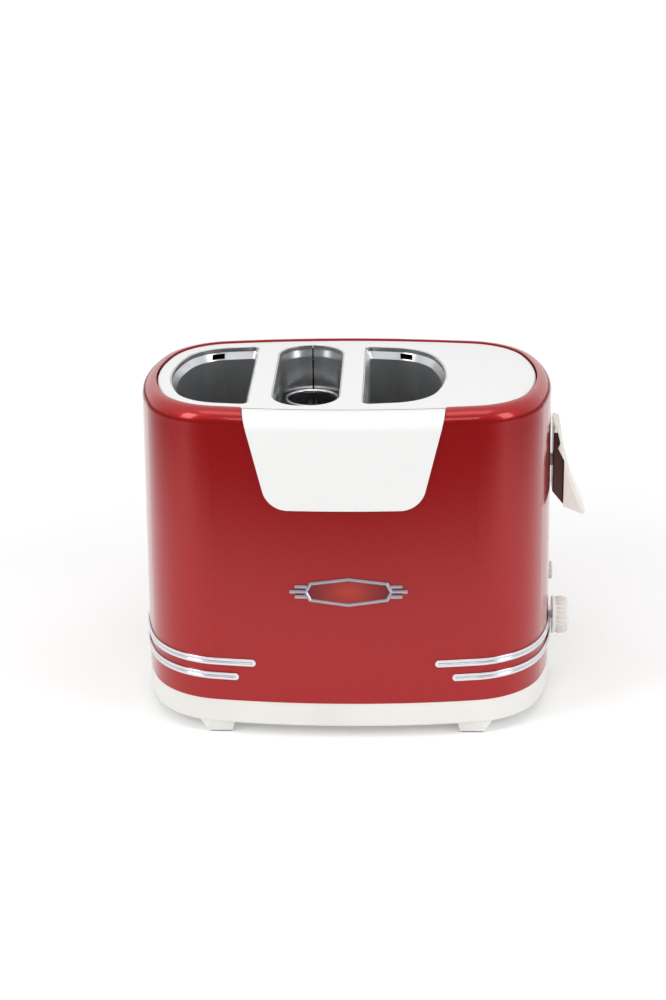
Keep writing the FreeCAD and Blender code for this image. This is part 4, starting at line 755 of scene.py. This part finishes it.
class TOASTER_OT_badge(bpy.types.Operator):
    """Build the badge's bevelled frame and the three bars each side of it on the shell's curve"""
    bl_idname = "toaster.badge"
    bl_label = "Badge"

    def execute(self, context):
        shape = bmesh.new()
        end = FIELD_HALF + BADGE_RIM - BADGE_BAND_HALF
        shoulder = end - BADGE_SHOULDER_IN
        high = BADGE_HALF_HEIGHT - BADGE_BAND_HALF
        upper = [(end, 0.0), (shoulder, high * BADGE_SHOULDER_RISE), (0.0, high),
                 (-shoulder, high * BADGE_SHOULDER_RISE)]
        ring = upper + [(-x, -z) for x, z in upper]
        corners = [(BADGE_X + x, BADGE_Z + z) for x, z in ring]
        band_on_front(shape, spread_points(corners, True, BADGE_STEPS), True, BADGE_BAND_HALF)
        for side in (-1, 1):
            for row, reach in zip((-1, 0, 1), WING_REACHES):
                start = FIELD_HALF + (BADGE_RIM / 2 if row == 0 else 0.0)
                tip = FIELD_HALF + BADGE_RIM + reach
                z = BADGE_Z + row * sizes().wing_pitch
                ends = [(BADGE_X + side * start, z), (BADGE_X + side * tip, z)]
                band_on_front(shape, spread_points(ends, False, WING_STEPS), False, WING_HALF)
        bmesh.ops.recalc_face_normals(shape, faces=shape.faces)
        mesh = mesh_of(shape, "badge_frame_bevelled", SMOOTH_BADGE)
        mesh.materials.append(FINISHES["smoked"])
        stands_for(in_scene("badge_frame_bevelled", mesh), "badge_frame")
        return {"FINISHED"}


# The browning knob

KNOB_STEPS = 96
# Outline of its skirt: distance past the skirt's foot, and radius taken off
KNOB_SKIRT = ((0.0, 0.0004), (0.0004, 0.0), (0.0012, 0.0), (0.0017, 0.0003))
KNOB_WAIST_START = 0.0020
# Outline of its crown: distance back from the face, and radius taken off the waist
KNOB_CROWN = ((0.0016, 0.0002), (0.0007, 0.0006), (0.0002, 0.0015), (0.0, 0.0028),
              (0.0001, 0.0040), (0.0007, 0.0052))
KNOB_DISH = 0.0009
# Its ribs: how far they sink into the waist, stop short of the ends and shift towards the face
RIB_SINK = 0.0001
RIB_END_GAP = 0.0022
RIB_SHIFT = 0.0004
RIB_SEGMENTS = 12
RIB_RINGS = 8
# Its pointer: how far its back and its front lie behind the face, half its width, where it starts
# and ends above the knob's middle, and the radius of its edges
POINTER_BACK = 0.0012
POINTER_FRONT = 0.0003
POINTER_HALF = 0.0006
POINTER_START = 0.0015
POINTER_END = 0.0068
POINTER_ROUND = 0.0003


def add_input(tree, label, kind, value=None):
    """A named input of a geometry tree."""
    socket = tree.interface.new_socket(label, in_out="INPUT", socket_type=kind)
    if value is not None:
        socket.default_value = value
    return socket.identifier


def ribs_tree():
    """Geometry Nodes that set long ribs round a knob that turns on the X axis."""
    tree = bpy.data.node_groups.new("knob_ribs", "GeometryNodeTree")
    add_input(tree, "Body", "NodeSocketGeometry")
    names = {
        "count": add_input(tree, "Count", "NodeSocketInt", 24),
        "radius": add_input(tree, "Radius", "NodeSocketFloat", 0.012),
        "size": add_input(tree, "Rib Size", "NodeSocketVector", (0.004, 0.0008, 0.0008)),
        "centre": add_input(tree, "Centre", "NodeSocketVector", (0.0, 0.0, 0.0)),
        "finish": add_input(tree, "Finish", "NodeSocketMaterial"),
    }
    tree.interface.new_socket("Knob", in_out="OUTPUT", socket_type="NodeSocketGeometry")
    given = tree.nodes.new("NodeGroupInput").outputs
    out = tree.nodes.new("NodeGroupOutput")
    ring = tree.nodes.new("GeometryNodeMeshCircle")
    tree.links.new(given["Count"], ring.inputs["Vertices"])
    tree.links.new(given["Radius"], ring.inputs["Radius"])
    stand = tree.nodes.new("GeometryNodeTransform")
    stand.inputs["Rotation"].default_value = (0.0, math.pi / 2.0, 0.0)
    tree.links.new(ring.outputs["Mesh"], stand.inputs["Geometry"])
    tree.links.new(given["Centre"], stand.inputs["Translation"])
    rib = tree.nodes.new("GeometryNodeMeshUVSphere")
    rib.inputs["Segments"].default_value = RIB_SEGMENTS
    rib.inputs["Rings"].default_value = RIB_RINGS
    rib.inputs["Radius"].default_value = 1.0
    placed = tree.nodes.new("GeometryNodeInstanceOnPoints")
    tree.links.new(stand.outputs["Geometry"], placed.inputs["Points"])
    tree.links.new(rib.outputs["Mesh"], placed.inputs["Instance"])
    tree.links.new(given["Rib Size"], placed.inputs["Scale"])
    joined = tree.nodes.new("GeometryNodeJoinGeometry")
    tree.links.new(given["Body"], joined.inputs[0])
    tree.links.new(placed.outputs["Instances"], joined.inputs[0])
    real = tree.nodes.new("GeometryNodeRealizeInstances")
    tree.links.new(joined.outputs[0], real.inputs[0])
    smooth = tree.nodes.new("GeometryNodeSetShadeSmooth")
    tree.links.new(real.outputs[0], smooth.inputs[0])
    painted = tree.nodes.new("GeometryNodeSetMaterial")
    tree.links.new(smooth.outputs[0], painted.inputs["Geometry"])
    tree.links.new(given["Finish"], painted.inputs["Material"])
    tree.links.new(painted.outputs[0], out.inputs[0])
    return tree, names


def pointer_bar(low, high):
    """The knob's pointer: a small bar with rounded edges between two corners."""
    shape = bmesh.new()
    bmesh.ops.create_cube(shape, size=1.0)
    for vert in shape.verts:
        vert.co = [a + (b - a) * (c + 0.5) for a, b, c in zip(low, high, vert.co)]
    round_edges(shape, list(shape.edges), POINTER_ROUND, clamped=True)
    return in_scene("knob_pointer", mesh_of(shape, "knob_pointer", SMOOTH_NODE))


class TOASTER_OT_knob(bpy.types.Operator):
    """Turn the browning knob, set its finger ribs round it and lay in its pointer"""
    bl_idname = "toaster.knob"
    bl_label = "Browning knob"

    def execute(self, context):
        low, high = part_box("browning_knob")
        skirt, face = low[0], high[0]
        y, z = (low[1] + high[1]) / 2, (low[2] + high[2]) / 2
        radius = (high[1] - low[1]) / 2
        half = sizes().knob_rib_width / 2
        waist = radius - half
        profile = [(skirt, 0.0)]
        profile += [(skirt + along, radius - less) for along, less in KNOB_SKIRT]
        profile += [(skirt + KNOB_WAIST_START, waist)]
        profile += [(face - back, waist - less) for back, less in KNOB_CROWN]
        profile += [(face - KNOB_DISH, 0.0)]
        work = in_scene("knob_work", turned("knob_body", profile, "X", (0.0, y, z), KNOB_STEPS))
        tree, names = ribs_tree()
        ribs = work.modifiers.new("ribs", "NODES")
        ribs.node_group = tree
        ribs[names["count"]] = sizes().knob_ribs
        ribs[names["radius"]] = waist - RIB_SINK
        ribs[names["size"]] = ((face - skirt) / 2 - RIB_END_GAP, half, half)
        ribs[names["centre"]] = ((skirt + face) / 2 + RIB_SHIFT, y, z)
        ribs[names["finish"]] = FINISHES["plastic"]
        stands_for(plain_piece(work, "browning_knob_ribbed"), "browning_knob")
        pointer = pointer_bar(
            (face - POINTER_BACK, y - POINTER_HALF, z + POINTER_START),
            (face - POINTER_FRONT, y + POINTER_HALF, z + POINTER_END))
        pointer.data.materials.append(FINISHES["insert"])
        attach(pointer, "browning_knob")
        return {"FINISHED"}


# The basket's knob

BASKET_KNOB_STEPS = 64
# Outline of its foot: distance up, and radius taken off
BASKET_KNOB_FOOT = ((0.0, 0.0024), (0.0010, 0.0018))
# Outline of its crown: distance down from the top, and radius taken off
BASKET_KNOB_CROWN = ((0.0036, 0.0002), (0.0018, 0.0), (0.0006, 0.0005), (0.0001, 0.0012),
                     (0.0, 0.0018), (0.0003, 0.0024), (0.0009, 0.0030))
# Outline of its middle: distance down from the top, and radius
BASKET_KNOB_MIDDLE = ((0.0010, 0.0014), (0.0006, 0.0008), (0.0005, 0.0))


class TOASTER_OT_basket_knob(bpy.types.Operator):
    """Turn the basket's lifting knob with a raised ring round its dished top"""
    bl_idname = "toaster.basket_knob"
    bl_label = "Basket knob"

    def execute(self, context):
        low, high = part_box("basket_knob")
        radius = (high[0] - low[0]) / 2
        foot, top = low[2], high[2]
        centre = ((low[0] + high[0]) / 2, (low[1] + high[1]) / 2, 0.0)
        profile = [(foot, 0.0)]
        profile += [(foot + up, radius - less) for up, less in BASKET_KNOB_FOOT]
        profile += [(top - down, radius - less) for down, less in BASKET_KNOB_CROWN]
        profile += [(top - down, out) for down, out in BASKET_KNOB_MIDDLE]
        mesh = turned("basket_knob_turned", profile, "Z", centre, BASKET_KNOB_STEPS)
        mesh.materials.append(FINISHES["black"])
        stands_for(in_scene("basket_knob_turned", mesh), "basket_knob")
        return {"FINISHED"}


# The return spring


class TOASTER_OT_spring(bpy.types.Operator):
    """Take the return spring's shape with its loose triangles merged and put it in the spring's
    place
    """
    bl_idname = "toaster.spring"
    bl_label = "Return spring"

    def execute(self, context):
        mesh = mesh_of(merged_shape("return_spring"), "return_spring_wound", SMOOTH_SPRING)
        mesh.materials.append(FINISHES["steel"])
        piece = in_scene("return_spring_wound", mesh)
        stands_for(piece, "return_spring")
        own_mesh(piece)
        return {"FINISHED"}


# Stage

WHITE = (1.0, 1.0, 1.0)
CAMERA_PLACE = (0.0313, -1.3735, 0.65875)
CAMERA_RIGHT = (0.99939, 0.03335, -0.01089)
CAMERA_UP = (-0.0018, 0.35853, 0.93352)
SENSOR_WIDTH = 36.0
LAMP_TARGET = (0.0, 0.0, 0.11)
# Each lamp's name, place, width, height and power in watts
LAMPS = (
    ("key_left", (-1.3, -0.9, 1.0), 0.5, 1.1, 9.0),
    ("fill_right", (1.4, -0.8, 0.8), 0.5, 1.1, 7.0),
    ("top", (0.0, -0.35, 1.6), 1.4, 0.7, 5.0),
    ("front", (0.0, -1.9, 1.35), 1.6, 0.5, 7.2),
)
WORLD_LIGHT = 0.62
ROOM_LIGHT = 0.10
# The surround in mirror images: how much height counts beside depth, and where room turns white
LEAN_BY_HEIGHT = 0.6
ROOM_LEAN = -0.75
WHITE_LEAN = 0.55
FLOOR_COLOUR = (0.82, 0.82, 0.82)
FLOOR_REACH = 8.0
FLOOR_FRONT = -1.6
# The floor's glow, from one distance to another, and where its mirror image fades to the room
GLOW_START = 0.35
GLOW_END = 2.5
GLOW_NEAR = 0.22
GLOW_FAR = 0.85
FADE_START = 0.20
FADE_END = 0.66
FADE_SIDE = 0.65


def softbox(name, place, width, height, power):
    """A rectangular studio light that faces the object."""
    light = bpy.data.lights.new(name, "AREA")
    light.shape = "RECTANGLE"
    light.size = width
    light.size_y = height
    light.energy = power
    lamp = bpy.data.objects.new(name, light)
    turn = (Vector(LAMP_TARGET) - Vector(place)).to_track_quat("-Z", "Y").to_matrix()
    lamp.matrix_world = Matrix.Translation(place) @ turn.to_4x4()
    bpy.context.scene.collection.objects.link(lamp)


def shown_and_lit(tree, seen, mirrored, lit):
    """Joins what the camera sees, what gloss and glass show, and what lights the object."""
    path = tree.nodes.new("ShaderNodeLightPath").outputs
    reflected = maths(tree, "MAXIMUM", path["Is Glossy Ray"], path["Is Transmission Ray"])
    last = lit
    for factor, shader in ((reflected, mirrored), (path["Is Camera Ray"], seen)):
        mix = tree.nodes.new("ShaderNodeMixShader")
        tree.links.new(factor, mix.inputs["Fac"])
        tree.links.new(last, mix.inputs[1])
        tree.links.new(shader, mix.inputs[2])
        last = mix.outputs[0]
    return last


def stage_world():
    """A white surround, darker towards the room in front, that lights the object softly."""
    world = bpy.data.worlds.new("studio")
    world.use_nodes = True
    tree = world.node_tree
    lit = tree.nodes["Background"]
    seen = tree.nodes.new("ShaderNodeBackground")
    mirrored = tree.nodes.new("ShaderNodeBackground")
    for background in (lit, seen, mirrored):
        feed(tree, background.inputs["Color"], WHITE)
    feed(tree, lit.inputs["Strength"], WORLD_LIGHT)
    direction = parts_of(tree, tree.nodes.new("ShaderNodeTexCoord").outputs["Generated"])
    lean = maths(
        tree, "ADD", direction["Y"], maths(tree, "MULTIPLY", direction["Z"], LEAN_BY_HEIGHT))
    feed(tree, mirrored.inputs["Strength"],
         ramp(tree, lean, ROOM_LEAN, WHITE_LEAN, ROOM_LIGHT, 1.0))
    joined = shown_and_lit(tree, seen.outputs[0], mirrored.outputs[0], lit.outputs[0])
    tree.links.new(joined, tree.nodes["World Output"].inputs["Surface"])
    bpy.context.scene.world = world


def floor_finish():
    """A pale floor that glows at a distance and fades in gloss towards the room in front."""
    material = bpy.data.materials.new("pale_floor")
    material.use_nodes = True
    tree = material.node_tree
    tree.nodes.remove(tree.nodes["Principled BSDF"])
    place = tree.nodes.new("ShaderNodeTexCoord").outputs["Object"]
    lit = tree.nodes.new("ShaderNodeBsdfDiffuse")
    feed(tree, lit.inputs["Color"], FLOOR_COLOUR)
    away = vector_maths(tree, "LENGTH", place, output="Value")
    glow = tree.nodes.new("ShaderNodeEmission")
    feed(tree, glow.inputs["Strength"],
         ramp(tree, away, GLOW_START, GLOW_END, GLOW_NEAR, GLOW_FAR))
    both = tree.nodes.new("ShaderNodeAddShader")
    tree.links.new(lit.outputs[0], both.inputs[0])
    tree.links.new(glow.outputs[0], both.inputs[1])
    parts = parts_of(tree, place)
    ahead = maths(tree, "MULTIPLY", parts["Y"], -1.0)
    beside = maths(tree, "MULTIPLY", maths(tree, "ABSOLUTE", parts["X"]), FADE_SIDE)
    nearness = ramp(tree, maths(tree, "MAXIMUM", ahead, beside), FADE_END, FADE_START)
    nearness.node.interpolation_type = "SMOOTHERSTEP"
    dim = tree.nodes.new("ShaderNodeEmission")
    feed(tree, dim.inputs["Strength"], ROOM_LIGHT)
    fade = tree.nodes.new("ShaderNodeMixShader")
    tree.links.new(nearness, fade.inputs["Fac"])
    tree.links.new(dim.outputs[0], fade.inputs[1])
    tree.links.new(both.outputs[0], fade.inputs[2])
    joined = shown_and_lit(tree, both.outputs[0], fade.outputs[0], lit.outputs[0])
    tree.links.new(joined, tree.nodes["Material Output"].inputs["Surface"])
    return material


def stage_floor():
    """The floor, which keeps the object's shadow."""
    mesh = bpy.data.meshes.new("floor")
    corners = [(-FLOOR_REACH, FLOOR_FRONT, 0), (FLOOR_REACH, FLOOR_FRONT, 0),
               (FLOOR_REACH, FLOOR_REACH, 0), (-FLOOR_REACH, FLOOR_REACH, 0)]
    mesh.from_pydata(corners, [], [(0, 1, 2, 3)])
    mesh.materials.append(floor_finish())
    floor = in_scene("floor", mesh)


def stage_camera():
    """The camera at the photograph's angle."""
    data = bpy.data.cameras.new("studio_camera")
    data.sensor_fit = "AUTO"
    data.sensor_width = SENSOR_WIDTH
    data.lens = sizes().camera_lens
    camera = bpy.data.objects.new("studio_camera", data)
    right = Vector(CAMERA_RIGHT).normalized()
    up = Vector(CAMERA_UP)
    up = (up - right * up.dot(right)).normalized()
    turn = Matrix((right, up, right.cross(up))).transposed()
    camera.matrix_world = Matrix.Translation(CAMERA_PLACE) @ turn.to_4x4()
    bpy.context.scene.collection.objects.link(camera)
    bpy.context.scene.camera = camera


class TOASTER_OT_stage(bpy.types.Operator):
    """Make the floor, the surround, the lights and the camera"""
    bl_idname = "toaster.stage"
    bl_label = "Stage"

    def execute(self, context):
        context.scene.view_settings.view_transform = "Standard"
        stage_world()
        stage_floor()
        stage_camera()
        for lamp in LAMPS:
            softbox(*lamp)
        return {"FINISHED"}


OPERATORS = (
    TOASTER_OT_finishes, TOASTER_OT_sheet, TOASTER_OT_badge, TOASTER_OT_lever, TOASTER_OT_knob,
    TOASTER_OT_basket_knob, TOASTER_OT_spring, TOASTER_OT_stage)


class TOASTER_PT_sidebar(bpy.types.Panel):
    """Sizes, colours and steps of the toaster"""
    bl_idname = "TOASTER_PT_sidebar"
    bl_label = "Toaster"
    bl_space_type = "VIEW_3D"
    bl_region_type = "UI"
    bl_category = "Toaster"

    def draw(self, context):
        for group in (context.scene.toaster_sizes, context.scene.toaster_colours):
            for label in group.__annotations__:
                self.layout.prop(group, label)
        for operator in OPERATORS:
            self.layout.operator(operator.bl_idname)


CLASSES = (ToasterSizes, ToasterColours) + OPERATORS + (TOASTER_PT_sidebar,)


def register():
    """Adds the classes and the scene's groups."""
    for item in CLASSES:
        bpy.utils.register_class(item)
    bpy.types.Scene.toaster_sizes = PointerProperty(type=ToasterSizes)
    bpy.types.Scene.toaster_colours = PointerProperty(type=ToasterColours)


def unregister():
    """Removes them again."""
    del bpy.types.Scene.toaster_colours
    del bpy.types.Scene.toaster_sizes
    for item in reversed(CLASSES):
        bpy.utils.unregister_class(item)


def main():
    """Builds everything in order."""
    register()
    bpy.ops.toaster.finishes()
    bpy.ops.toaster.sheet()
    bpy.ops.toaster.badge()
    bpy.ops.toaster.lever()
    bpy.ops.toaster.knob()
    bpy.ops.toaster.basket_knob()
    bpy.ops.toaster.spring()
    bpy.ops.toaster.stage()


if __name__ == "__main__":
    main()
